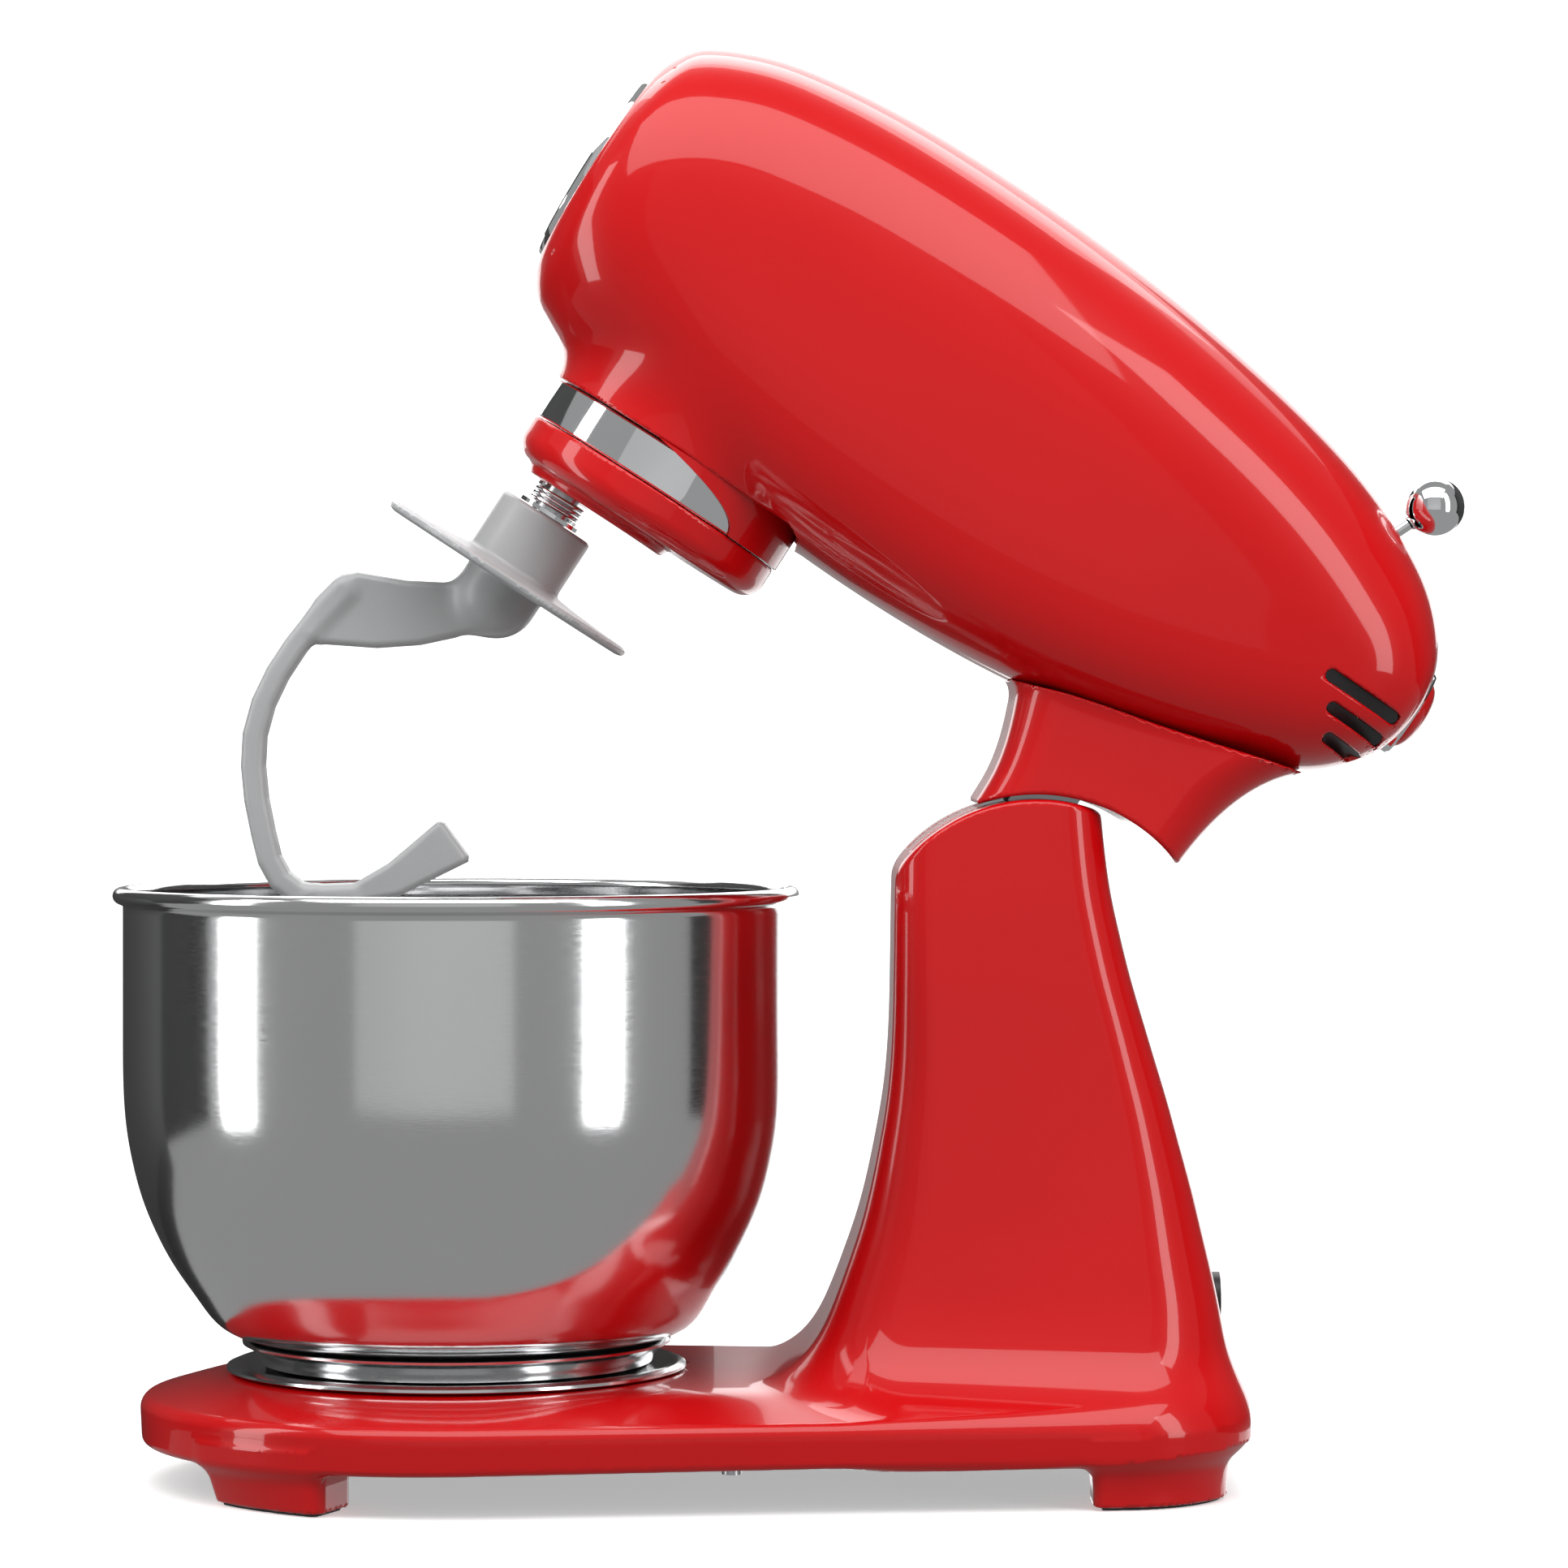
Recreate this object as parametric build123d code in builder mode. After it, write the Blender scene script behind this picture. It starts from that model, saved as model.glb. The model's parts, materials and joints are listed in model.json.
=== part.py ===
from build123d import *
import math
import os

os.makedirs("parts", exist_ok=True)

# ---------------------------------------------------------------- driving dimensions (mm)
# Row frame: +X to the rear, +Y to the machine's left as seen from the front, +Z up, floor at Z = 0.
PIVOT_X, PIVOT_Z = 79.6, 171.4  # hinge axis of the tilting head
TILT = 33.0  # head stored raised by this angle
HEAD_FRONT, HEAD_REAR = -267.0, 59.6
PLANET_U = -192.7  # planetary axis, in the head's own frame
TOOL_OFFSET = 25.5  # planetary axis to tool axis
BOWL_X = PIVOT_X + PLANET_U  # bowl axis, under the planetary axis when the head is down
WALL = 3.0  # head casing wall
DRUM_R = 57.5  # rounded column top about the hinge axis
NECK_R = 58.4  # hollow of the neck about the hinge axis
COLUMN_WALL = 3.6
PIN_R = 6.0
BOWL_RIM_R = 114.7
BOWL_T = 1.0
BASE_TOP = 36.6
BASE_R = 105.5
MODULE_RING = 2.125  # planetary stage
N_RING, N_PLANET = 36, 12
MODULE_MOTOR = 1.25  # motor stage
N_SPUR, N_MOTOR = 36, 12
MODULE_FACE = 2.0  # crown stage
N_CROWN, N_COUNTER = 30, 12
COUNTER_V = 121.5  # counter shaft height in the head's frame
MOTOR_V = COUNTER_V + MODULE_MOTOR * (N_SPUR + N_MOTOR) / 2
LEVER_U, LEVER_V = 0.0, 134.5  # speed lever axle
BUTTON_V = 140.6

# ---------------------------------------------------------------- the head's own frame
# u runs to the rear, v up, origin on the hinge axis; the whole frame is tilted by TILT about +Y.
_c, _s = math.cos(math.radians(TILT)), math.sin(math.radians(TILT))
HEAD = Plane(origin=(PIVOT_X, 0, PIVOT_Z), x_dir=(_c, 0, -_s), z_dir=(_s, 0, _c))


def head_point(u, y, v):
    return HEAD.from_local_coords(Vector(u, y, v))


def head_dir(a, b, c):
    return HEAD.from_local_coords(Vector(a, b, c)) - HEAD.origin


def head_level(v, u=0.0, y=0.0):
    """Plane square to the head's vertical, at height v."""
    return Plane(origin=head_point(u, y, v), x_dir=head_dir(1, 0, 0), z_dir=head_dir(0, 0, 1))


def head_side(u=0.0, v=0.0, y=0.0):
    """Plane of the head's side outline: local x is u, local y is v."""
    return Plane(origin=head_point(u, y, v), x_dir=head_dir(1, 0, 0), z_dir=(0, -1, 0))


def head_across(u, v=0.0, y=0.0):
    """Plane square to the head's length: local x is Y, local y is v."""
    return Plane(origin=head_point(u, y, v), x_dir=(0, 1, 0), z_dir=head_dir(1, 0, 0))


def head_axis(u, v=0.0, y=0.0):
    return Axis(head_point(u, y, v), head_dir(0, 0, 1))


def head_long_axis(v, y=0.0, u=0.0):
    return Axis(head_point(u, y, v), head_dir(1, 0, 0))


def stand_side(x, y, z):
    """Plane square to the machine's width, local axes X and Z."""
    return Plane(origin=(x, y, z), x_dir=(1, 0, 0), z_dir=(0, -1, 0))


def interpolate(table, x, k):
    for a, b in zip(table, table[1:]):
        if a[0] <= x <= b[0]:
            t = (x - a[0]) / (b[0] - a[0])
            return a[k] + t * (b[k] - a[k])
    return table[0][k] if x < table[0][0] else table[-1][k]


# Head casing: station u, top v, bottom v, half width, squareness exponent
HEAD_STATIONS = [
    (-267.0, 188.6, 105.0, 41.6, 2.10),
    (-262.5, 195.2, 99.2, 47.0, 2.14),
    (-256.0, 200.2, 94.8, 51.2, 2.18),
    (-247.0, 204.6, 90.4, 54.6, 2.22),
    (-234.0, 209.2, 86.6, 57.6, 2.26),
    (-215.0, 213.2, 82.4, 60.2, 2.30),
    (-192.0, 215.7, 78.4, 61.8, 2.34),
    (-165.0, 216.8, 75.0, 62.8, 2.38),
    (-135.0, 216.7, 73.5, 63.2, 2.40),
    (-105.0, 215.5, 73.6, 63.0, 2.40),
    (-75.0, 212.7, 75.2, 62.2, 2.40),
    (-45.0, 208.4, 79.0, 60.6, 2.38),
    (-15.0, 202.3, 85.2, 58.0, 2.36),
    (10.0, 194.7, 92.0, 54.8, 2.34),
    (30.0, 185.6, 99.2, 51.0, 2.32),
    (43.0, 177.4, 106.2, 46.8, 2.30),
    (51.5, 169.4, 114.0, 41.4, 2.26),
    (57.0, 161.5, 121.6, 34.4, 2.20),
    (59.6, 156.0, 127.0, 27.5, 2.12),
]


def superellipse(half_w, half_h, n, count=24):
    points = []
    for k in range(count):
        a = 2 * math.pi * k / count
        c, s = math.cos(a), math.sin(a)
        points.append(
            (
                half_w * math.copysign(abs(c) ** (2 / n), c),
                half_h * math.copysign(abs(s) ** (2 / n), s),
            )
        )
    return points


def involute_points(teeth, module, add, ded, thin=0.0, phase=0.0, flank=4):
    """Closed outline of a spur gear; a tooth is centred on the angle phase (degrees)."""
    r = teeth * module / 2
    rb = r * math.cos(math.radians(20))
    ra, rf = r + add * module, r - ded * module
    inv20 = math.tan(math.radians(20)) - math.radians(20)
    half = math.pi / (2 * teeth) - thin / (2 * r)
    start = max(rb, rf)
    side = []
    for k in range(flank + 1):
        rr = start + (ra - start) * k / flank
        a = math.acos(min(1.0, rb / rr))
        side.append((rr, half + inv20 - (math.tan(a) - a)))
    if rf < rb:
        side.insert(0, (rf, side[0][1]))
    points = []
    for t in range(teeth):
        mid = math.radians(phase) + 2 * math.pi * t / teeth
        for rr, a in side:
            points.append((rr * math.cos(mid - a), rr * math.sin(mid - a)))
        for rr, a in reversed(side):
            points.append((rr * math.cos(mid + a), rr * math.sin(mid + a)))
    return points


# ---------------------------------------------------------------- head casing, inside and outside forms
with BuildPart() as head_outer:
    for u, top, bottom, half_w, n in HEAD_STATIONS:
        with BuildSketch(head_across(u, (top + bottom) / 2)):
            with BuildLine():
                Spline(*superellipse(half_w, (top - bottom) / 2, n), periodic=True)
            make_face()
    loft()

with BuildPart() as head_inner:
    for u, top, bottom, half_w, n in HEAD_STATIONS[1:-1]:
        with BuildSketch(head_across(u, (top + bottom) / 2)):
            with BuildLine():
                Spline(*superellipse(half_w - WALL, (top - bottom) / 2 - WALL, n), periodic=True)
            make_face()
    loft()

# Joint line between the upper casing and the lower housing, in the head's side plane
SEAM = [(-143.0, 76.6), (-100.0, 76.6), (-56.0, 78.0), (-45.0, 82.0), (-16.0, 89.0), (11.0, 96.0), (27.0, 101.0), (37.0, 102.0)]

# ---------------------------------------------------------------- upper head casing
with BuildPart() as head_shell:
    add(head_outer.part)
    # collar around the planetary hub
    with BuildSketch(head_level(79.2, PLANET_U)):
        Circle(47.7)
    extrude(amount=25)
    add(head_inner.part, mode=Mode.SUBTRACT)
    with BuildSketch(head_level(70.0, PLANET_U)):
        Circle(44.9)
    extrude(amount=36, mode=Mode.SUBTRACT)
    # everything below the hub collar's lower edge
    with BuildSketch(head_level(60.0, PLANET_U)):
        Circle(60)
    extrude(amount=79.2 - 60.0, mode=Mode.SUBTRACT)
    # the lower housing's share
    with BuildSketch(head_side()):
        with BuildLine():
            Polyline(*[(u, v + 0.0) for u, v in SEAM], (37.0, 60.0), (-143.0, 60.0), close=True)
        make_face()
    extrude(amount=80, both=True, mode=Mode.SUBTRACT)
    # seat of the front cap
    with BuildSketch(head_across(HEAD_FRONT - 5, 147.0)):
        Circle(36.2)
    extrude(amount=14, mode=Mode.SUBTRACT)
    # opening for the release button
    with BuildSketch(head_across(50.0, BUTTON_V)):
        Circle(13.9)
    extrude(amount=14, mode=Mode.SUBTRACT)
    # seat of the button's ring
    with BuildSketch(head_across(58.4, BUTTON_V)):
        Circle(16.2)
    extrude(amount=6, mode=Mode.SUBTRACT)
    # opening for the speed lever
    with BuildSketch(head_level(170.0, 13.6)):
        SlotOverall(34.0, 9.6)
    extrude(amount=40, mode=Mode.SUBTRACT)
    # three vent slots on each side
    for u0, u1, v0, v1 in ((25.3, 54.5, 131.6, 136.0), (31.6, 54.5, 123.2, 127.3), (36.5, 52.6, 114.5, 118.5)):
        for side in (-1, 1):
            with BuildSketch(head_side((u0 + u1) / 2, (v0 + v1) / 2, 30.0 * side)):
                SlotOverall(u1 - u0, v1 - v0)
            extrude(amount=-40 * side, mode=Mode.SUBTRACT)
head_shell.part.label = "head_shell"
export_step(head_shell.part, "parts/head_shell.step")

# ---------------------------------------------------------------- lower head housing with the neck
# Neck: height v, front u, rear u, half width, corner radius
NECK = [(26.0, -47.0, 19.6, 44.5, 18.0), (45.0, -47.4, 19.8, 45.0, 18.0), (60.0, -50.4, 20.4, 46.0, 18.0), (72.0, -54.4, 22.2, 47.4, 18.0), (84.0, -58.0, 25.4, 49.0, 18.0), (96.0, -62.0, 31.0, 50.0, 18.0), (110.0, -66.0, 36.0, 50.0, 18.0)]

with BuildPart() as neck_inner:
    for v, front, rear, half_w, radius in NECK:
        with BuildSketch(head_level(v, (front + rear) / 2)):
            RectangleRounded(rear - front - 2 * WALL - 1, 2 * (half_w - WALL - 0.5), radius - WALL)
    loft()
    with BuildSketch(head_side()):
        Circle(NECK_R + 3.4)
    extrude(amount=80, both=True, mode=Mode.SUBTRACT)

with BuildPart() as neck_outer:
    for v, front, rear, half_w, radius in NECK:
        with BuildSketch(head_level(v, (front + rear) / 2)):
            RectangleRounded(rear - front, 2 * half_w, radius)
    loft()
    # the neck's rim follows the underside of the casing
    add(head_outer.part, mode=Mode.SUBTRACT)

with BuildPart() as head_lower:
    add(head_outer.part)
    with BuildSketch(head_side()):
        with BuildLine():
            Polyline(*[(u, v - 0.3) for u, v in SEAM], (37.0, 60.0), (-143.0, 60.0), close=True)
        make_face()
    extrude(amount=80, both=True, mode=Mode.INTERSECT)
    add(neck_outer.part)
    # neck hollowed to ride over the round column top
    with BuildSketch(head_side()):
        Circle(NECK_R)
    extrude(amount=80, both=True, mode=Mode.SUBTRACT)
    with BuildSketch(head_level(10.0)):
        Rectangle(200, 160)
    extrude(amount=24.2, mode=Mode.SUBTRACT)
    add(neck_inner.part, mode=Mode.SUBTRACT)
    add(head_inner.part, mode=Mode.SUBTRACT)
    # clearance round the hub collar
    with BuildSketch(head_level(60.0, PLANET_U)):
        Circle(48.4)
    extrude(amount=30, mode=Mode.SUBTRACT)
    # slots for the hinge arms
    for side in (-1, 1):
        with BuildSketch(head_level(30.0, -28.0, 24.0 * side)):
            Rectangle(24.0, 7.4)
        extrude(amount=38, mode=Mode.SUBTRACT)
    # pads that the hinge bracket is screwed down on
    for side in (-1, 1):
        with BuildSketch(head_level(50.0, -28.0, 12.5 * side)):
            Rectangle(20.0, 10.0)
        extrude(amount=19.9)
        with BuildSketch(head_level(60.0, -28.0, 12.5 * side)):
            Circle(2.02)
        extrude(amount=12.0, mode=Mode.SUBTRACT)
    with BuildSketch(head_side()):
        Circle(NECK_R)
    extrude(amount=80, both=True, mode=Mode.SUBTRACT)
head_lower.part.label = "head_lower"
export_step(head_lower.part, "parts/head_lower.step")

# ---------------------------------------------------------------- hinge: steel bracket in the head, pin in the column
with BuildPart() as hinge_bracket:
    for side in (-1, 1):
        with BuildSketch(head_side(y=24.0 * side)):
            with BuildLine():
                Polyline((-12.0, 5.0), (-38.0, 43.0), (-38.0, 72.0), (-18.0, 72.0), (-18.0, 50.0), (12.0, 5.0), (9.0, -9.0), (-9.0, -9.0), close=True)
            make_face()
            Circle(13.0)
        extrude(amount=3.0, both=True)
    with BuildSketch(head_level(70.0, -28.0)):
        Rectangle(26.0, 62.0)
    extrude(amount=4.0)
    with Locations(Plane(origin=(PIVOT_X, 0, PIVOT_Z), x_dir=(1, 0, 0), z_dir=(0, -1, 0))):
        Cylinder(PIN_R + 0.05, 80, mode=Mode.SUBTRACT)
    with BuildSketch(head_level(69.0, -28.0)):
        with Locations((0, 12.5), (0, -12.5)):
            Circle(2.1)
    extrude(amount=8.0, mode=Mode.SUBTRACT)
hinge_bracket.part.label = "hinge_bracket"
export_step(hinge_bracket.part, "parts/hinge_bracket.step")

with BuildPart() as bracket_screws:
    with BuildSketch(head_level(61.0, -28.0)):
        with Locations((0, 12.5), (0, -12.5)):
            Circle(2.0)
    extrude(amount=13.2)
    with BuildSketch(head_level(74.1, -28.0)):
        with Locations((0, 12.5), (0, -12.5)):
            Circle(3.6)
    extrude(amount=2.2)
bracket_screws.part.label = "bracket_screws"
export_step(bracket_screws.part, "parts/bracket_screws.step")

with BuildPart() as hinge_pin:
    with BuildSketch(Plane(origin=(PIVOT_X, 0, PIVOT_Z), x_dir=(1, 0, 0), z_dir=(0, -1, 0))):
        Circle(PIN_R)
    extrude(amount=40.0, both=True)
    chamfer(hinge_pin.edges(), 0.8)
hinge_pin.part.label = "hinge_pin"
export_step(hinge_pin.part, "parts/hinge_pin.step")

# ---------------------------------------------------------------- stand: base and column in one casting
# Column: height z, front x, rear x, half width, corner radius
COLUMN = [
    (30.0, -14.0, 144.6, 75.0, 35.0),
    (40.0, -10.0, 144.0, 73.0, 34.0),
    (46.3, -2.0, 142.8, 70.0, 33.0),
    (53.1, 4.0, 141.4, 67.0, 32.0),
    (60.0, 9.0, 140.1, 64.4, 30.0),
    (73.6, 16.0, 137.3, 60.4, 28.0),
    (87.2, 21.6, 134.1, 57.0, 26.0),
    (100.8, 25.3, 130.8, 54.4, 24.0),
    (120.0, 29.0, 125.4, 51.4, 22.0),
    (141.7, 31.8, 119.1, 49.0, 20.0),
    (169.0, 32.8, 110.9, 47.0, 19.0),
    (196.2, 33.2, 104.6, 45.6, 18.0),
    (232.0, 33.4, 99.4, 44.6, 17.0),
]


def base_outline(inset):
    """Plan of the base: a half disc under the bowl, straight flanks, rounded rear."""
    r = BASE_R - inset
    with BuildSketch(mode=Mode.PRIVATE) as plan:
        with BuildLine():
            CenterArc((BOWL_X, 0), r, 80, 200)
            a = (BOWL_X + r * math.cos(math.radians(80)), r * math.sin(math.radians(80)))
            b = (145.5 - inset, 76.5 - inset)
            Line(a, b)
            Line(b, (b[0], -b[1]))
            Line((b[0], -b[1]), (a[0], -a[1]))
        make_face()
        fillet(plan.vertices().group_by(Axis.X)[-1], 36.0 - inset)
    return plan.sketch


COVER_SCREWS = [(-205.0, 0.0), (-20.0, 84.0), (-20.0, -84.0), (88.0, 60.0), (88.0, -60.0)]
# feet: centre x, centre y, length, width, turn
LEGS_AT = [(-162.0, 71.0, 54.0, 24.0, 34.5), (-162.0, -71.0, 54.0, 24.0, -34.5), (115.0, 60.0, 47.0, 24.0, -4.0), (115.0, -60.0, 47.0, 24.0, 4.0)]

with BuildPart() as column_inner:
    for z, front, rear, half_w, radius in COLUMN[:-1]:
        with BuildSketch(Plane.XY.offset(z).move(Location(((front + rear) / 2, 0, 0)))):
            RectangleRounded(rear - front - 2 * COLUMN_WALL, 2 * (half_w - COLUMN_WALL), radius - COLUMN_WALL)
    with BuildSketch(Plane.XY.offset(232.0).move(Location((66.4, 0, 0)))):
        RectangleRounded(66.0 - 2 * COLUMN_WALL, 2 * (44.6 - COLUMN_WALL), 17.0 - COLUMN_WALL)
    loft()
    with BuildSketch(Plane.XZ):
        with Locations((PIVOT_X, PIVOT_Z)):
            Circle(DRUM_R - COLUMN_WALL)
        with Locations((PIVOT_X, PIVOT_Z - 100)):
            Rectangle(400, 200)
    extrude(amount=120, both=True, mode=Mode.INTERSECT)

with BuildPart() as base_inner:
    with BuildSketch(Plane.XY.offset(10.0)):
        add(base_outline(4.5))
    extrude(amount=BASE_TOP - 4.5 - 10.0)
    for x, y, length, width, turn in LEGS_AT:
        with BuildSketch(Plane.XY.offset(5.0).move(Location((x, y, 0), (0, 0, turn)))):
            RectangleRounded(length, width, 10.0)
        extrude(amount=40, mode=Mode.SUBTRACT)

with BuildPart() as stand_casting:
    with BuildSketch(Plane.XY.offset(14.8)):
        add(base_outline(0))
    extrude(amount=BASE_TOP - 14.8)
    fillet(stand_casting.edges().group_by(Axis.Z)[-1], 9.0)
    fillet(stand_casting.edges().group_by(Axis.Z)[0], 2.0)
    for x, y, length, width, turn in LEGS_AT:
        with BuildSketch(Plane.XY.offset(2.4).move(Location((x, y, 0), (0, 0, turn)))):
            RectangleRounded(length, width, 10.0)
        extrude(amount=16)

with BuildPart() as column:
    for z, front, rear, half_w, radius in COLUMN:
        with BuildSketch(Plane.XY.offset(z).move(Location(((front + rear) / 2, 0, 0)))):
            RectangleRounded(rear - front, 2 * half_w, radius)
    loft()
    with BuildSketch(Plane.XZ):
        with Locations((PIVOT_X, PIVOT_Z)):
            Circle(DRUM_R)
        with Locations((PIVOT_X, PIVOT_Z - 100)):
            Rectangle(400, 200)
    extrude(amount=120, both=True, mode=Mode.INTERSECT)

with stand_casting:
    add(column.part)
    add(base_inner.part, mode=Mode.SUBTRACT)
    add(column_inner.part, mode=Mode.SUBTRACT)
    # bosses for the screws of the base cover
    with BuildSketch(Plane.XY.offset(17.2)):
        with Locations(*COVER_SCREWS):
            Circle(5.2)
    extrude(amount=12.6)
    with BuildSketch(Plane.XY.offset(17.2)):
        with Locations(*COVER_SCREWS[:3]):
            Circle(5.2)
    extrude(amount=16.0)
    with BuildSketch(Plane.XY.offset(16.0)):
        with Locations(*COVER_SCREWS):
            Circle(1.65)
    extrude(amount=9.0, mode=Mode.SUBTRACT)
    # bosses that hold the hinge pin
    for side in (-1, 1):
        with BuildSketch(stand_side(PIVOT_X, 27.8 * side, PIVOT_Z)):
            Circle(13.0)
        extrude(amount=-18.0 * side)
    with BuildSketch(stand_side(PIVOT_X, 0, PIVOT_Z)):
        Circle(PIN_R + 0.02)
    extrude(amount=40.4, both=True, mode=Mode.SUBTRACT)
    # slots in the round top that the hinge arms swing through
    for side in (-1, 1):
        with BuildSketch(stand_side(PIVOT_X, 24.0 * side, PIVOT_Z)):
            with BuildLine():
                Polyline(
                    (-4, 12),
                    (80 * math.sin(math.radians(-46.5)), 80 * math.cos(math.radians(-46.5))),
                    (80 * math.sin(math.radians(-15)), 80 * math.cos(math.radians(-15))),
                    (80 * math.sin(math.radians(17.2)), 80 * math.cos(math.radians(17.2))),
                    close=True,
                )
            make_face()
        extrude(amount=3.8, both=True, mode=Mode.SUBTRACT)
    # cable outlet low in the rear wall
    with BuildSketch(Plane(origin=(120.0, 0, 60.0), x_dir=(0, 1, 0), z_dir=(1, 0, 0))):
        Circle(7.0)
    extrude(amount=40, mode=Mode.SUBTRACT)
    with BuildSketch(Plane(origin=(139.0, 0, 60.0), x_dir=(0, 1, 0), z_dir=(1, 0, 0))):
        Circle(9.6)
    extrude(amount=20, mode=Mode.SUBTRACT)
stand_casting.part.label = "stand_casting"
export_step(stand_casting.part, "parts/stand_casting.step")

with BuildPart() as base_cover:
    with BuildSketch(Plane.XY.offset(15.0)):
        add(base_outline(5.2))
        for x, y, length, width, turn in LEGS_AT:
            with Locations(Location((x, y, 0), (0, 0, turn))):
                RectangleRounded(length + 1.0, width + 1.0, 10.5, mode=Mode.SUBTRACT)
        with Locations(*COVER_SCREWS):
            Circle(1.7, mode=Mode.SUBTRACT)
    extrude(amount=2.0)
base_cover.part.label = "base_cover"
export_step(base_cover.part, "parts/base_cover.step")

with BuildPart() as base_screws:
    with BuildSketch(Plane.XY.offset(12.8)):
        with Locations(*COVER_SCREWS):
            Circle(3.2)
    extrude(amount=2.1)
    with BuildSketch(Plane.XY.offset(14.9)):
        with Locations(*COVER_SCREWS):
            Circle(1.6)
    extrude(amount=9.0)
base_screws.part.label = "base_screws"
export_step(base_screws.part, "parts/base_screws.step")

with BuildPart() as rubber_feet:
    for x, y, length, width, turn in LEGS_AT:
        with BuildSketch(Plane.XY.move(Location((x, y, 0), (0, 0, turn)))):
            RectangleRounded(length - 4, width - 4, 9.0)
        extrude(amount=2.3)
rubber_feet.part.label = "rubber_feet"
export_step(rubber_feet.part, "parts/rubber_feet.step")

with BuildPart() as cord_gland:
    with BuildSketch(Plane(origin=(133.0, 0, 60.0), x_dir=(0, 1, 0), z_dir=(1, 0, 0))):
        Circle(6.7)
        Circle(3.6, mode=Mode.SUBTRACT)
    extrude(amount=6.4)
    with BuildSketch(Plane(origin=(139.2, 0, 60.0), x_dir=(0, 1, 0), z_dir=(1, 0, 0))):
        Circle(9.0)
        Circle(3.6, mode=Mode.SUBTRACT)
    extrude(amount=3.6)
cord_gland.part.label = "cord_gland"
export_step(cord_gland.part, "parts/cord_gland.step")

# ---------------------------------------------------------------- bowl seat and bowl
with BuildPart() as bowl_seat_plate:
    with BuildSketch(Plane.XY.offset(BASE_TOP + 0.1).move(Location((BOWL_X, 0, 0)))):
        Circle(77.0)
    extrude(amount=1.5)
    # raised locating ring with three lugs over the bowl's tabs
    with BuildSketch(Plane.XY.offset(BASE_TOP + 1.6).move(Location((BOWL_X, 0, 0)))):
        Circle(56.0)
        Circle(53.6, mode=Mode.SUBTRACT)
    extrude(amount=6.0)
    for a in (0, 120, 240):
        with BuildSketch(Plane.XY.offset(BASE_TOP + 5.4).move(Location((BOWL_X, 0, 0)))):
            with BuildLine():
                CenterArc((0, 0), 55.8, a - 14, 28)
                CenterArc((0, 0), 59.5, a - 14, 28)
                Line((55.8 * math.cos(math.radians(a - 14)), 55.8 * math.sin(math.radians(a - 14))), (59.5 * math.cos(math.radians(a - 14)), 59.5 * math.sin(math.radians(a - 14))))
                Line((55.8 * math.cos(math.radians(a + 14)), 55.8 * math.sin(math.radians(a + 14))), (59.5 * math.cos(math.radians(a + 14)), 59.5 * math.sin(math.radians(a + 14))))
            make_face()
        extrude(amount=2.2)
    # screw holes
    with BuildSketch(Plane.XY.offset(BASE_TOP).move(Location((BOWL_X, 0, 0)))):
        with PolarLocations(40, 3, 60):
            Circle(2.2)
    extrude(amount=4, mode=Mode.SUBTRACT)
bowl_seat_plate.part.label = "bowl_seat_plate"
export_step(bowl_seat_plate.part, "parts/bowl_seat_plate.step")

with BuildPart() as seat_screws:
    with BuildSketch(Plane.XY.offset(BASE_TOP + 1.7).move(Location((BOWL_X, 0, 0)))):
        with PolarLocations(40, 3, 60):
            Circle(4.0)
    extrude(amount=1.8)
    with BuildSketch(Plane.XY.offset(BASE_TOP + 1.7).move(Location((BOWL_X, 0, 0)))):
        with PolarLocations(40, 3, 60):
            Circle(2.0)
    extrude(amount=-1.6)
seat_screws.part.label = "seat_screws"
export_step(seat_screws.part, "parts/seat_screws.step")

# Bowl: outer wall from the foot up, radius and height
BOWL_WALL = [(74.0, 48.4), (79.6, 52.6), (86.8, 61.4), (94.4, 72.4), (100.4, 83.6), (105.0, 95.0), (108.2, 107.0), (110.2, 118.5), (111.2, 132.0), (111.4, 160.0), (111.4, 192.0)]
BOWL_FLOOR = 46.6

def bowl_side(offset):
    """Bowl wall from foot to rim, moved inwards by offset square to itself."""
    table = [(66.0, BOWL_FLOOR)] + BOWL_WALL[1:]
    moved = []
    for i, (r, z) in enumerate(table):
        a = table[max(i - 1, 0)]
        b = table[min(i + 1, len(table) - 1)]
        dr, dz = b[0] - a[0], b[1] - a[1]
        if i == 0:
            dr, dz = 1.0, 0.0
        length = math.hypot(dr, dz)
        moved.append((r - offset * dz / length, z + offset * dr / length))
    return moved


with BuildPart() as bowl:
    with BuildSketch(Plane.XZ.move(Location((BOWL_X, 0, 0)))):
        with BuildLine():
            Polyline(
                (0, BOWL_FLOOR),
                *bowl_side(0),
                (114.0, 192.9), (114.7, 195.4), (113.9, 197.9), (112.2, 198.6), (110.9, 197.6),
                *reversed(bowl_side(BOWL_T)),
                (0, BOWL_FLOOR + BOWL_T),
                close=True,
            )
        make_face()
    revolve(axis=Axis((BOWL_X, 0, 0), (0, 0, 1)))
bowl.part.label = "bowl"
export_step(bowl.part, "parts/bowl.step")

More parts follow.
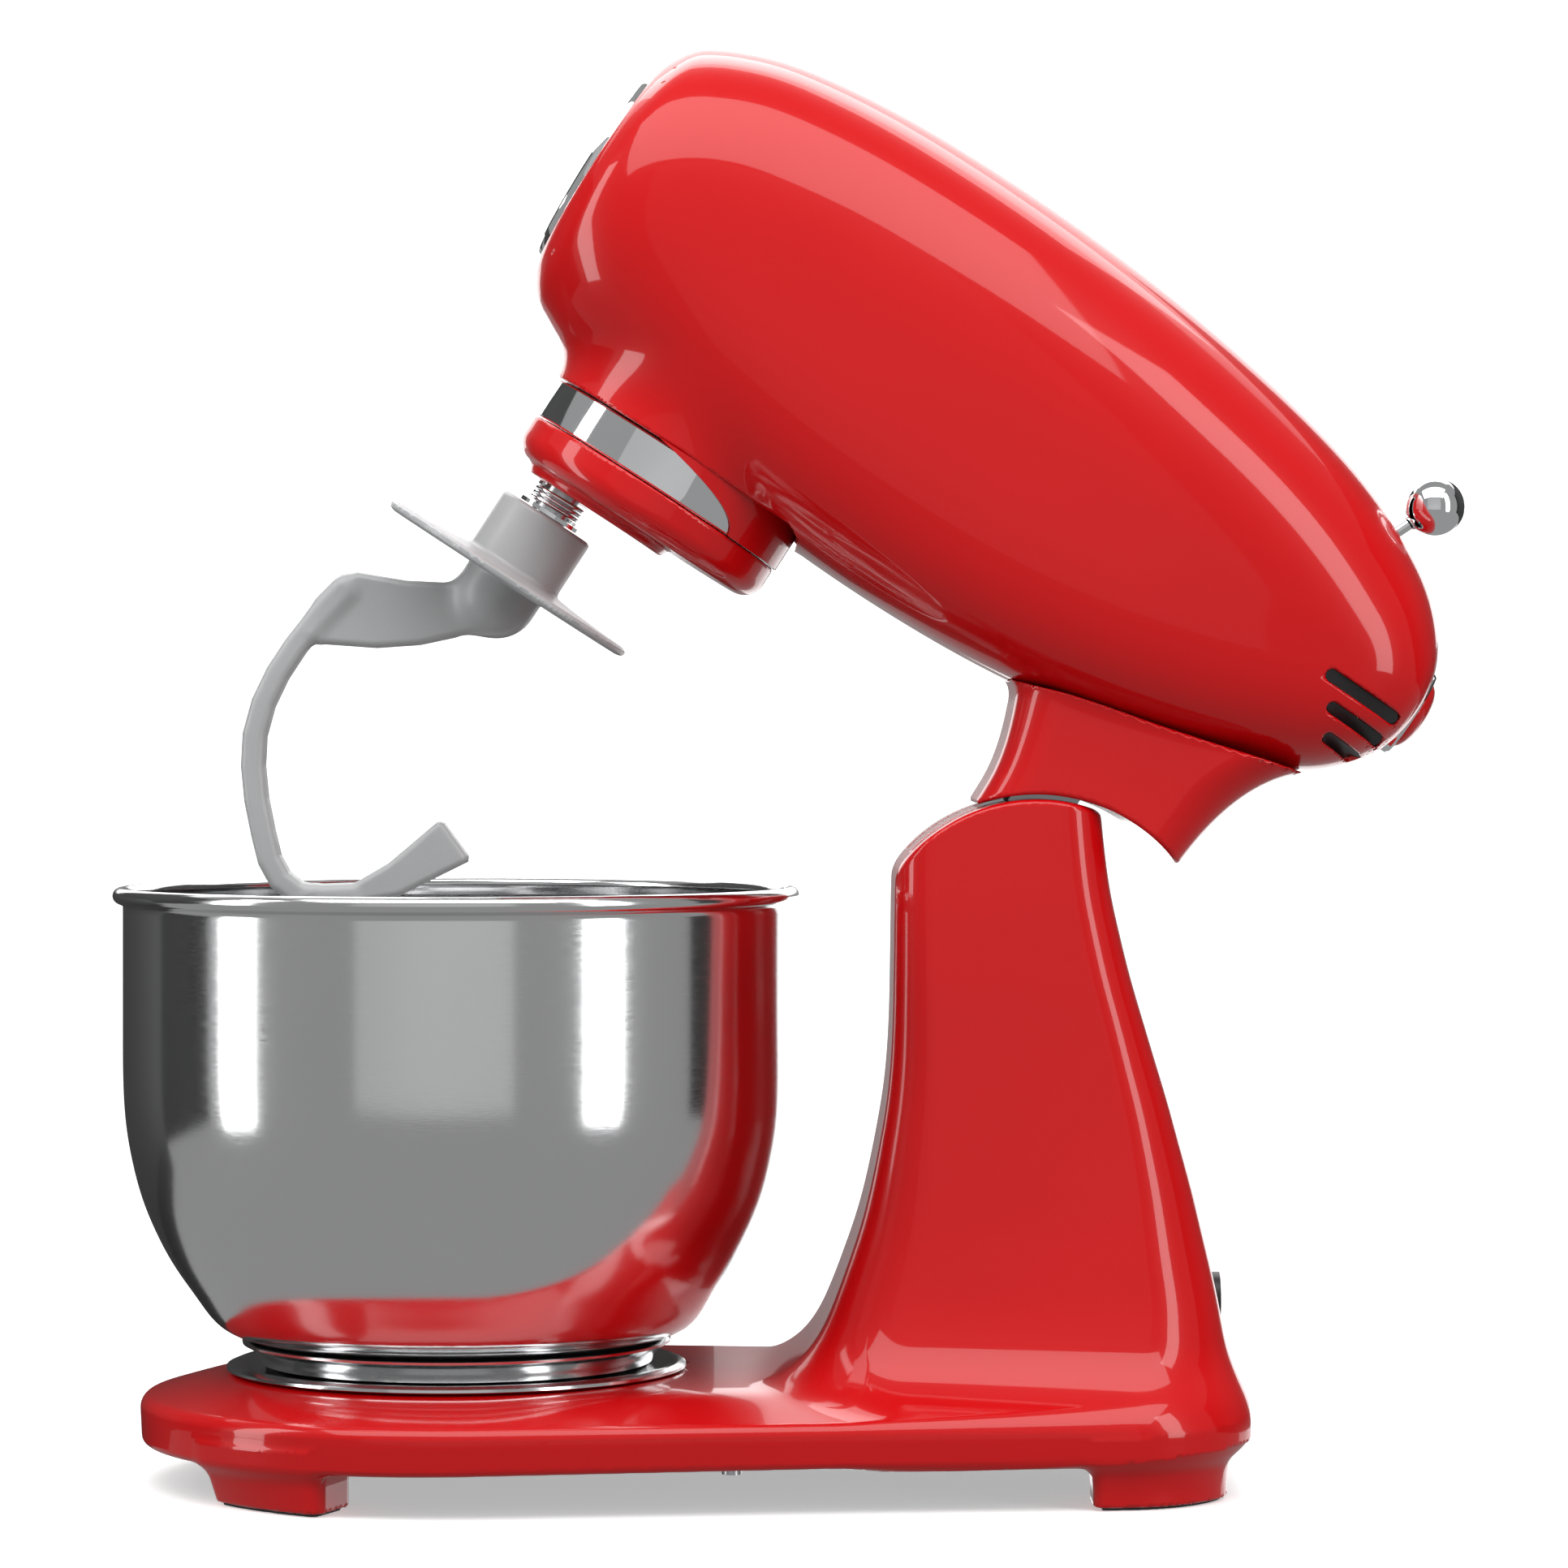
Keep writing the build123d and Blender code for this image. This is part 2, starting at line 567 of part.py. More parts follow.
with BuildPart() as bowl_foot:
    with BuildSketch(Plane.XZ.move(Location((BOWL_X, 0, 0)))):
        with BuildLine():
            Polyline((62.4, 38.6), (63.8, 38.6), (66.2, 42.4), (69.4, 46.2), (62.0, 46.2), (62.0, 44.6), (66.0, 44.6), (64.4, 42.6), close=True)
        make_face()
    revolve(axis=Axis((BOWL_X, 0, 0), (0, 0, 1)))
    # three tabs that turn in under the lugs of the seat
    for a in (0, 120, 240):
        with BuildSketch(Plane.XY.offset(38.8).move(Location((BOWL_X, 0, 0)))):
            with BuildLine():
                CenterArc((0, 0), 56.6, a - 8, 16)
                CenterArc((0, 0), 63.2, a - 8, 16)
                Line((56.6 * math.cos(math.radians(a - 8)), 56.6 * math.sin(math.radians(a - 8))), (63.2 * math.cos(math.radians(a - 8)), 63.2 * math.sin(math.radians(a - 8))))
                Line((56.6 * math.cos(math.radians(a + 8)), 56.6 * math.sin(math.radians(a + 8))), (63.2 * math.cos(math.radians(a + 8)), 63.2 * math.sin(math.radians(a + 8))))
            make_face()
        extrude(amount=1.6)
bowl_foot.part.label = "bowl_foot"
export_step(bowl_foot.part, "parts/bowl_foot.step")

# ---------------------------------------------------------------- planetary hub
TOOL_U = PLANET_U - TOOL_OFFSET

with BuildPart() as hub_ring:
    with BuildSketch(head_level(64.9, PLANET_U)):
        Circle(47.7)
        Circle(43.6, mode=Mode.SUBTRACT)
    extrude(amount=14.0)
    chamfer(hub_ring.edges().filter_by(GeomType.CIRCLE).group_by(SortBy.RADIUS)[-1], 0.5)
hub_ring.part.label = "hub_ring"
export_step(hub_ring.part, "parts/hub_ring.step")

with BuildPart() as ring_gear:
    with BuildSketch(head_level(66.6, PLANET_U)):
        Circle(43.5)
        with BuildLine():
            Polyline(*involute_points(N_RING, MODULE_RING, 1.0, 0.8, thin=-0.35), close=True)
        make_face(mode=Mode.SUBTRACT)
    extrude(amount=10.0)
ring_gear.part.label = "ring_gear"
export_step(ring_gear.part, "parts/ring_gear.step")

with BuildPart() as planet_carrier:
    with BuildSketch(head_side(PLANET_U)):
        with BuildLine():
            Polyline((0, 51.2), (40.0, 50.8), (44.2, 52.4), (46.8, 55.8), (47.6, 60.0), (47.6, 64.6), (44.4, 64.6), (44.4, 57.6), (42.0, 54.4), (12.0, 54.4), (12.0, 65.0), (8.02, 65.0), (8.02, 54.4), (0, 54.4), close=True)
        make_face()
    revolve(axis=head_axis(PLANET_U))
    with BuildSketch(head_level(51.0, -205.5)):
        Circle(26.5)
    extrude(amount=-3.3, taper=12)
    with BuildSketch(head_level(50.0, TOOL_U)):
        Circle(14.0)
    extrude(amount=14.6)
    with BuildSketch(head_level(44.0, TOOL_U)):
        Circle(9.2)
    extrude(amount=30, mode=Mode.SUBTRACT)
planet_carrier.part.label = "planet_carrier"
export_step(planet_carrier.part, "parts/planet_carrier.step")

with BuildPart() as tool_bush:
    with BuildSketch(head_level(48.2, TOOL_U)):
        Circle(9.15)
        Circle(6.56, mode=Mode.SUBTRACT)
    extrude(amount=16.2)
tool_bush.part.label = "tool_bush"
export_step(tool_bush.part, "parts/tool_bush.step")

with BuildPart() as main_shaft:
    with BuildSketch(head_level(54.5, PLANET_U)):
        Circle(8.0)
    extrude(amount=65.0)
    chamfer(main_shaft.edges(), 0.6)
main_shaft.part.label = "main_shaft"
export_step(main_shaft.part, "parts/main_shaft.step")

with BuildPart() as crown_gear:
    with BuildSketch(head_level(100.0, PLANET_U)):
        Circle(34.0)
        Circle(8.03, mode=Mode.SUBTRACT)
    extrude(amount=7.4)
    with BuildSketch(head_level(92.5, PLANET_U)):
        Circle(13.0)
        Circle(8.03, mode=Mode.SUBTRACT)
    extrude(amount=7.6)
    # radial teeth on the upper face
    for k in range(N_CROWN):
        a = (k + 0.5) * 360 / N_CROWN
        direction = (math.cos(math.radians(a)), math.sin(math.radians(a)))
        with BuildSketch(Plane(origin=head_point(PLANET_U + 27.4 * direction[0], 27.4 * direction[1], 107.3), x_dir=head_dir(-direction[1], direction[0], 0), z_dir=head_dir(direction[0], direction[1], 0))):
            with BuildLine():
                Polyline((-1.8, 0.0), (1.8, 0.0), (0.65, 3.6), (-0.65, 3.6), close=True)
            make_face()
        extrude(amount=5.6)
crown_gear.part.label = "crown_gear"
export_step(crown_gear.part, "parts/crown_gear.step")

# ---------------------------------------------------------------- tool shaft, its spring and the dough hook
with BuildPart() as tool_shaft:
    with BuildSketch(head_level(22.0, TOOL_U)):
        Circle(6.5)
    extrude(amount=55.6)
    chamfer(tool_shaft.edges(), 0.7)
    # cross pin that holds the tool
    with BuildSketch(Plane(origin=head_point(TOOL_U, -9.5, 28.0), x_dir=head_dir(1, 0, 0), z_dir=(0, 1, 0))):
        Circle(2.0)
    extrude(amount=19.0)
tool_shaft.part.label = "tool_shaft"
export_step(tool_shaft.part, "parts/tool_shaft.step")

with BuildPart() as planet_gear:
    with BuildSketch(head_level(66.8, TOOL_U)):
        with BuildLine():
            Polyline(*involute_points(N_PLANET, MODULE_RING, 0.75, 1.0, thin=0.35), close=True)
        make_face()
        Circle(6.52, mode=Mode.SUBTRACT)
    extrude(amount=9.4)
planet_gear.part.label = "planet_gear"
export_step(planet_gear.part, "parts/planet_gear.step")

with BuildPart() as spring_blank:
    with BuildLine():
        Helix(2.0, 5.6, 8.4)
    with BuildSketch(Plane(origin=(8.4, 0, 0), x_dir=(1, 0, 0), z_dir=(0, 1, 0.038))):
        Circle(0.55)
    sweep(is_frenet=True)
with BuildPart() as shaft_spring:
    add(head_level(40.8, TOOL_U).location * spring_blank.part)
shaft_spring.part.label = "shaft_spring"
export_step(shaft_spring.part, "parts/shaft_spring.step")

with BuildPart() as spring_seat:
    with BuildSketch(head_level(38.6, TOOL_U)):
        Circle(11.5)
        Circle(6.62, mode=Mode.SUBTRACT)
    extrude(amount=1.4)
spring_seat.part.label = "spring_seat"
export_step(spring_seat.part, "parts/spring_seat.step")

# Hook outline in the head's side plane, relative to the tool axis and the hinge height
HOOK_ARM = [(-12.0, 3.5), (-28.0, -6.5), (-43.0, -13.0), (-47.5, -18.0), (-49.0, -29.5), (-41.0, -38.5), (-24.0, -29.5), (-12.6, -20.6), (-1.5, -10.5), (6.0, -1.0)]
HOOK_BAR = [(-42.2, -12.4), (-47.0, -27.2), (-50.0, -41.4), (-51.2, -53.2), (-49.8, -66.0), (-46.6, -76.5), (-41.6, -85.6), (-34.3, -94.5), (-26.0, -102.8), (-18.1, -110.4), (-12.3, -114.6), (-6.0, -116.4)]
HOOK_BACK = [(14.2, -107.6), (27.5, -95.6), (34.0, -84.0), (40.4, -73.4), (25.6, -67.4), (17.6, -96.6), (9.0, -103.0), (-4.2, -109.4), (-7.9, -109.2), (-13.0, -105.0), (-21.5, -95.8), (-30.2, -86.4), (-36.0, -78.9), (-40.4, -70.7), (-43.2, -60.4), (-42.8, -50.4), (-41.2, -38.4), (-38.0, -26.0)]

with BuildPart() as dough_hook:
    # socket, guard disc and ball
    with BuildSketch(head_side(TOOL_U)):
        with BuildLine():
            Polyline((6.6, 38.2), (15.4, 38.2), (17.0, 36.8), (17.0, 16.6), (44.8, 15.2), (46.6, 14.0), (44.8, 12.6), (16.0, 12.6), (14.6, 10.0), (14.4, 5.0), (11.6, -2.0), (5.6, -6.6), (0, -7.6), (0, 15.8), (6.6, 15.8), close=True)
        make_face()
    revolve(axis=head_axis(TOOL_U))
    # arm and bar
    with BuildSketch(head_side(TOOL_U)):
        with BuildLine():
            Polyline(*HOOK_ARM, close=True)
        make_face()
    extrude(amount=6.0, both=True)
    with BuildSketch(head_side(TOOL_U)):
        with BuildLine():
            Polyline(*HOOK_BAR, *HOOK_BACK, close=True)
        make_face()
    extrude(amount=6.5, both=True)
    # bayonet notch for the shaft's cross pin
    with BuildSketch(head_level(20.0, TOOL_U)):
        Rectangle(5.0, 20.4)
    extrude(amount=24.0, mode=Mode.SUBTRACT)
dough_hook.part.label = "dough_hook"
export_step(dough_hook.part, "parts/dough_hook.step")

# ---------------------------------------------------------------- gear case, bearings, counter shaft
CASE_R, CASE_REAR, CASE_HALF = 44.0, -122.0, 26.0
LID_SCREWS = [(42.2 * math.cos(math.radians(a)), 42.2 * math.sin(math.radians(a))) for a in (75, 135, 225, 285)] + [(CASE_REAR - PLANET_U - 1.9, 18.0), (CASE_REAR - PLANET_U - 1.9, -18.0)]


def case_plan(inset):
    """Plan of the gear case: a round pot over the hub with a narrower tail to the rear."""
    with BuildSketch(mode=Mode.PRIVATE) as plan:
        Circle(CASE_R - inset)
        with Locations(((CASE_REAR - inset - PLANET_U) / 2, 0)):
            Rectangle(CASE_REAR - inset - PLANET_U, 2 * (CASE_HALF - inset))
    return plan.sketch


with BuildPart() as gear_case:
    with BuildSketch(head_level(79.6, PLANET_U)):
        Circle(CASE_R)
    extrude(amount=56.0)
    with BuildSketch(head_level(86.6, PLANET_U)):
        add(case_plan(0))
    extrude(amount=49.0)
    with BuildSketch(head_level(84.0, PLANET_U)):
        Circle(CASE_R - 3.5)
    extrude(amount=60.0, mode=Mode.SUBTRACT)
    with BuildSketch(head_level(90.0, PLANET_U)):
        add(case_plan(3.5))
    extrude(amount=60.0, mode=Mode.SUBTRACT)
    # lower bearing seat
    with BuildSketch(head_level(83.9, PLANET_U)):
        Circle(20.0)
    extrude(amount=7.3)
    with BuildSketch(head_level(79.0, PLANET_U)):
        Circle(10.0)
    extrude(amount=5.0, mode=Mode.SUBTRACT)
    with BuildSketch(head_level(82.0, PLANET_U)):
        Circle(16.02)
    extrude(amount=12.0, mode=Mode.SUBTRACT)
    # counter shaft seat in the rear wall
    with BuildSketch(head_across(CASE_REAR - 9.0, COUNTER_V)):
        Circle(11.0)
    extrude(amount=9.0)
    with BuildSketch(head_across(CASE_REAR - 12.0, COUNTER_V)):
        Circle(8.02)
    extrude(amount=14.0, mode=Mode.SUBTRACT)
    with BuildSketch(head_level(127.0, PLANET_U)):
        with Locations(*LID_SCREWS):
            Circle(1.05)
    extrude(amount=12.0, mode=Mode.SUBTRACT)
gear_case.part.label = "gear_case"
export_step(gear_case.part, "parts/gear_case.step")

with BuildPart() as case_gasket:
    with BuildSketch(head_level(135.65, PLANET_U)):
        add(case_plan(0.3))
        add(case_plan(3.3), mode=Mode.SUBTRACT)
        with Locations(*LID_SCREWS):
            Circle(1.1, mode=Mode.SUBTRACT)
    extrude(amount=0.8)
case_gasket.part.label = "case_gasket"
export_step(case_gasket.part, "parts/case_gasket.step")

with BuildPart() as gear_case_lid:
    with BuildSketch(head_level(136.5, PLANET_U)):
        add(case_plan(0))
    extrude(amount=2.4)
    # post that carries the front bearing of the counter shaft
    with BuildSketch(head_level(136.6, -176.5)):
        RectangleRounded(6.0, 24.0, 2.0)
    extrude(amount=-24.6)
    with BuildSketch(head_across(-180.0, COUNTER_V)):
        Circle(8.02)
    extrude(amount=8.0, mode=Mode.SUBTRACT)
    with BuildSketch(head_level(136.0, PLANET_U)):
        with Locations(*LID_SCREWS):
            Circle(1.1)
    extrude(amount=5.0, mode=Mode.SUBTRACT)
gear_case_lid.part.label = "gear_case_lid"
export_step(gear_case_lid.part, "parts/gear_case_lid.step")

with BuildPart() as case_screws:
    with BuildSketch(head_level(128.0, PLANET_U)):
        with Locations(*LID_SCREWS):
            Circle(1.0)
    extrude(amount=11.2)
    with BuildSketch(head_level(139.0, PLANET_U)):
        with Locations(*LID_SCREWS):
            Circle(1.8)
    extrude(amount=1.4)
case_screws.part.label = "case_screws"
export_step(case_screws.part, "parts/case_screws.step")


def bearing(plane, outer, inner, width):
    """Sealed ball bearing: two races with a shield between them."""
    with BuildPart(mode=Mode.PRIVATE) as made:
        with BuildSketch(plane):
            Circle(outer)
            Circle(inner, mode=Mode.SUBTRACT)
        extrude(amount=width)
        with BuildSketch(plane):
            Circle(outer - 1.6)
            Circle(inner + 1.6, mode=Mode.SUBTRACT)
        extrude(amount=0.5, mode=Mode.SUBTRACT)
        with BuildSketch(plane.offset(width)):
            Circle(outer - 1.6)
            Circle(inner + 1.6, mode=Mode.SUBTRACT)
        extrude(amount=-0.5, mode=Mode.SUBTRACT)
    return made.part


with BuildPart() as hub_bearing:
    add(bearing(head_level(82.1, PLANET_U), 16.0, 8.05, 9.0))
hub_bearing.part.label = "hub_bearing"
export_step(hub_bearing.part, "parts/hub_bearing.step")

with BuildPart() as counter_bearings:
    add(bearing(head_across(-179.4, COUNTER_V), 8.0, 4.05, 5.6))
    add(bearing(head_across(CASE_REAR - 7.0, COUNTER_V), 8.0, 4.05, 6.6))
counter_bearings.part.label = "counter_bearings"
export_step(counter_bearings.part, "parts/counter_bearings.step")

with BuildPart() as counter_shaft:
    with BuildSketch(head_across(-179.6, COUNTER_V)):
        Circle(4.0)
    extrude(amount=76.0)
    # pinion that drives the crown gear, cut on the shaft
    with BuildSketch(head_across(PLANET_U + 27.6, COUNTER_V)):
        with BuildLine():
            Polyline(*involute_points(N_COUNTER, MODULE_FACE, 0.72, 1.0, thin=0.9), close=True)
        make_face()
    extrude(amount=5.2)
counter_shaft.part.label = "counter_shaft"
export_step(counter_shaft.part, "parts/counter_shaft.step")

GEAR_U = -115.0
with BuildPart() as spur_gear:
    with BuildSketch(head_across(GEAR_U, COUNTER_V)):
        with BuildLine():
            Polyline(*involute_points(N_SPUR, MODULE_MOTOR, 0.9, 1.2, thin=0.25), close=True)
        make_face()
        Circle(4.02, mode=Mode.SUBTRACT)
    extrude(amount=7.0)
    with BuildSketch(head_across(GEAR_U + 7.0, COUNTER_V)):
        Circle(8.0)
        Circle(4.02, mode=Mode.SUBTRACT)
    extrude(amount=4.0)
spur_gear.part.label = "spur_gear"
export_step(spur_gear.part, "parts/spur_gear.step")

# ---------------------------------------------------------------- motor
with BuildPart() as motor_shaft:
    with BuildSketch(head_across(-116.0, MOTOR_V)):
        Circle(4.0)
    extrude(amount=106.0)
motor_shaft.part.label = "motor_shaft"
export_step(motor_shaft.part, "parts/motor_shaft.step")

with BuildPart() as motor_pinion:
    with BuildSketch(head_across(GEAR_U, MOTOR_V)):
        with BuildLine():
            Polyline(*involute_points(N_MOTOR, MODULE_MOTOR, 0.9, 1.1, thin=0.25, phase=15.0), close=True)
        make_face()
        Circle(4.02, mode=Mode.SUBTRACT)
    extrude(amount=7.0)
motor_pinion.part.label = "motor_pinion"
export_step(motor_pinion.part, "parts/motor_pinion.step")

with BuildPart() as motor_rotor:
    with BuildSketch(head_across(-88.0, MOTOR_V)):
        Circle(23.6)
        with PolarLocations(21.4, 12):
            Rectangle(6.0, 2.2, mode=Mode.SUBTRACT)
        Circle(4.02, mode=Mode.SUBTRACT)
    extrude(amount=34.0)
motor_rotor.part.label = "motor_rotor"
export_step(motor_rotor.part, "parts/motor_rotor.step")

with BuildPart() as commutator:
    with BuildSketch(head_across(-50.0, MOTOR_V)):
        Circle(11.0)
        with PolarLocations(10.8, 12, 15):
            Rectangle(1.6, 0.7, mode=Mode.SUBTRACT)
        Circle(4.02, mode=Mode.SUBTRACT)
    extrude(amount=14.0)
commutator.part.label = "commutator"
export_step(commutator.part, "parts/commutator.step")

with BuildPart() as cooling_fan:
    with BuildSketch(head_across(-25.0, MOTOR_V)):
        Circle(9.0)
        Circle(4.02, mode=Mode.SUBTRACT)
    extrude(amount=9.0)
    with BuildSketch(head_across(-25.0, MOTOR_V)):
        Circle(33.0)
        Circle(8.5, mode=Mode.SUBTRACT)
    extrude(amount=1.4)
    for k in range(11):
        a = 360 / 11 * k
        with BuildSketch(head_across(-24.0, MOTOR_V)):
            with Locations(Location((20.5 * math.cos(math.radians(a)), 20.5 * math.sin(math.radians(a)), 0), (0, 0, a + 16))):
                Rectangle(22.0, 1.4)
        extrude(amount=8.0)
cooling_fan.part.label = "cooling_fan"
export_step(cooling_fan.part, "parts/cooling_fan.step")

with BuildPart() as motor_stator:
    with BuildSketch(head_across(-88.0, MOTOR_V)):
        RectangleRounded(76.0, 70.0, 12.0)
        Circle(24.2, mode=Mode.SUBTRACT)
        for x in (31, -31):
            with Locations((x, 0)):
                Circle(2.1, mode=Mode.SUBTRACT)
    extrude(amount=34.0)
motor_stator.part.label = "motor_stator"
export_step(motor_stator.part, "parts/motor_stator.step")

with BuildPart() as field_coils:
    for side in (-1, 1):
        for u in (-93.5, -53.7):
            with BuildSketch(head_across(u, MOTOR_V)):
                with BuildLine():
                    CenterArc((0, 0), 25.5, 20 if side > 0 else 200, 140)
                    CenterArc((0, 0), 32.5, 20 if side > 0 else 200, 140)
                    for a in ((20, 160) if side > 0 else (200, 340)):
                        Line((25.5 * math.cos(math.radians(a)), 25.5 * math.sin(math.radians(a))), (32.5 * math.cos(math.radians(a)), 32.5 * math.sin(math.radians(a))))
                make_face()
            extrude(amount=5.2)
field_coils.part.label = "field_coils"
export_step(field_coils.part, "parts/field_coils.step")

with BuildPart() as motor_brackets:
    for u in (-102.0, -34.0):
        with BuildSketch(head_across(u, MOTOR_V)):
            RectangleRounded(76.0, 18.0, 5.0)
            Circle(15.0)
            Circle(8.02, mode=Mode.SUBTRACT)
            for x in (31, -31):
                with Locations((x, 0)):
                    Circle(2.1, mode=Mode.SUBTRACT)
        extrude(amount=6.0)
motor_brackets.part.label = "motor_brackets"
export_step(motor_brackets.part, "parts/motor_brackets.step")

with BuildPart() as motor_bolts:
    for u, length, radius in ((-104.0, 78.0, 2.0), (-104.2, 2.1, 3.6), (-27.9, 2.4, 3.6)):
        with BuildSketch(head_across(u, MOTOR_V)):
            with Locations((31, 0), (-31, 0)):
                Circle(radius)
        extrude(amount=length)
motor_bolts.part.label = "motor_bolts"
export_step(motor_bolts.part, "parts/motor_bolts.step")

with BuildPart() as motor_spacers:
    for u, length in ((-95.9, 7.8), (-53.9, 19.8)):
        with BuildSketch(head_across(u, MOTOR_V)):
            with Locations((31, 0), (-31, 0)):
                Circle(4.0)
                Circle(2.1, mode=Mode.SUBTRACT)
        extrude(amount=length)
motor_spacers.part.label = "motor_spacers"
export_step(motor_spacers.part, "parts/motor_spacers.step")

with BuildPart() as motor_bearings:
    for u in (-102.0, -34.0):
        add(bearing(head_across(u, MOTOR_V), 8.0, 4.05, 6.0))
motor_bearings.part.label = "motor_bearings"
export_step(motor_bearings.part, "parts/motor_bearings.step")

with BuildPart() as carbon_brushes:
    for side in (-1, 1):
        with BuildSketch(head_across(-47.0, MOTOR_V, 16.3 * side)):
            Rectangle(10.0, 5.0)
        extrude(amount=7.0)
carbon_brushes.part.label = "carbon_brushes"
export_step(carbon_brushes.part, "parts/carbon_brushes.step")

with BuildPart() as control_board:
    with BuildSketch(head_level(150.0, -180.0)):
        RectangleRounded(92.0, 56.0, 3.0)
        with GridLocations(76.0, 40.0, 2, 2):
            Circle(1.7, mode=Mode.SUBTRACT)
    extrude(amount=1.6)
    for u, y, a, b, h in ((-206, 8, 14, 10, 12), (-190, -14, 10, 10, 16), (-168, 8, 20, 16, 9), (-158, -14, 8, 8, 14), (-204, -12, 6, 12, 6)):
        with BuildSketch(head_level(151.6, u, y)):
            RectangleRounded(a, b, 1.0)
        extrude(amount=h)
control_board.part.label = "control_board"
export_step(control_board.part, "parts/control_board.step")

with BuildPart() as board_posts:
    with BuildSketch(head_level(139.0, -180.0)):
        with GridLocations(76.0, 40.0, 2, 2):
            Circle(3.2)
    extrude(amount=10.9)
    with BuildSketch(head_level(149.8, -180.0)):
        with GridLocations(76.0, 40.0, 2, 2):
            Circle(1.6)
    extrude(amount=4.0)
board_posts.part.label = "board_posts"
export_step(board_posts.part, "parts/board_posts.step")

# ---------------------------------------------------------------- speed lever and its switch
LEVER_ANGLE = 66.7
LC, LS = math.cos(math.radians(LEVER_ANGLE)), math.sin(math.radians(LEVER_ANGLE))
KNOB_R = 10.0
KNOB_AT = 75.0

with BuildPart() as lever_stem:
    with BuildSketch(Plane(origin=head_point(LEVER_U, 0, LEVER_V), x_dir=(0, 1, 0), z_dir=head_dir(LC, 0, LS))):
        Circle(2.0)
    extrude(amount=KNOB_AT - 7.0)
    with BuildSketch(head_side(LEVER_U, LEVER_V)):
        Circle(6.5)
    extrude(amount=5.0, both=True)
    with BuildSketch(head_side(LEVER_U, LEVER_V)):
        Circle(2.55)
    extrude(amount=8.0, both=True, mode=Mode.SUBTRACT)
lever_stem.part.label = "lever_stem"
export_step(lever_stem.part, "parts/lever_stem.step")

with BuildPart() as lever_knob:
    with Locations(Plane(origin=head_point(LEVER_U + KNOB_AT * LC, 0, LEVER_V + KNOB_AT * LS), x_dir=(0, 1, 0), z_dir=head_dir(LC, 0, LS))):
        Sphere(KNOB_R)
    with BuildSketch(Plane(origin=head_point(LEVER_U, 0, LEVER_V), x_dir=(0, 1, 0), z_dir=head_dir(LC, 0, LS))):
        Circle(2.02)
    extrude(amount=KNOB_AT - 6.8, mode=Mode.SUBTRACT)
lever_knob.part.label = "lever_knob"
export_step(lever_knob.part, "parts/lever_knob.step")

with BuildPart() as speed_switch:
    with BuildSketch(head_side(LEVER_U, LEVER_V)):
        Circle(2.5)
    extrude(amount=14.0, both=True)
    for side in (-1, 1):
        with BuildSketch(head_side(LEVER_U, LEVER_V, 9.0 * side)):
            with Locations((2.0, -6.0)):
                RectangleRounded(22.0, 30.0, 3.0)
        extrude(amount=2.5, both=True)
    with BuildSketch(head_side(LEVER_U, LEVER_V)):
        with Locations((-0.5, -16.0)):
            RectangleRounded(17.0, 10.0, 3.0)
    extrude(amount=11.0, both=True)
speed_switch.part.label = "speed_switch"
export_step(speed_switch.part, "parts/speed_switch.step")

SLOT_SLOPE = -20.6
with BuildPart() as speed_slot_plate:
    with BuildSketch(Plane(origin=head_point(13.6, 0, 192.2), x_dir=head_dir(math.cos(math.radians(SLOT_SLOPE)), 0, math.sin(math.radians(SLOT_SLOPE))), z_dir=head_dir(-math.sin(math.radians(SLOT_SLOPE)), 0, math.cos(math.radians(SLOT_SLOPE))))):
        SlotOverall(33.2, 8.8)
        SlotOverall(30.0, 5.4, mode=Mode.SUBTRACT)
    extrude(amount=1.6)
speed_slot_plate.part.label = "speed_slot_plate"
export_step(speed_slot_plate.part, "parts/speed_slot_plate.step")

# ---------------------------------------------------------------- release button, its ring and latch
with BuildPart() as button_ring:
    with BuildSketch(head_across(58.6, BUTTON_V)):
        Circle(15.9)
        Circle(13.6, mode=Mode.SUBTRACT)
    extrude(amount=2.2)
    with BuildSketch(head_across(46.0, BUTTON_V)):
        Circle(13.8)
        Circle(12.4, mode=Mode.SUBTRACT)
    extrude(amount=12.7)
    with BuildSketch(head_across(46.0, BUTTON_V)):
        Circle(13.8)
        Circle(5.4, mode=Mode.SUBTRACT)
    extrude(amount=2.0)
button_ring.part.label = "button_ring"
export_step(button_ring.part, "parts/button_ring.step")

with BuildPart() as release_button:
    with BuildSketch(head_side(0, BUTTON_V)):
        with BuildLine():
            Polyline((55.0, 0), (55.0, 12.1), (62.6, 12.1), (64.0, 10.0), (65.2, 6.6), (65.8, 3.0), (66.0, 0), close=True)
        make_face()
    revolve(axis=head_long_axis(BUTTON_V))
    with BuildSketch(head_across(24.0, BUTTON_V)):
        Circle(5.0)
    extrude(amount=31.2)
release_button.part.label = "release_button"
export_step(release_button.part, "parts/release_button.step")

with BuildPart() as button_spring:
    with BuildSketch(head_across(48.3, BUTTON_V)):
        Circle(8.6)
        Circle(7.0, mode=Mode.SUBTRACT)
    extrude(amount=6.4)
button_spring.part.label = "button_spring"
export_step(button_spring.part, "parts/button_spring.step")

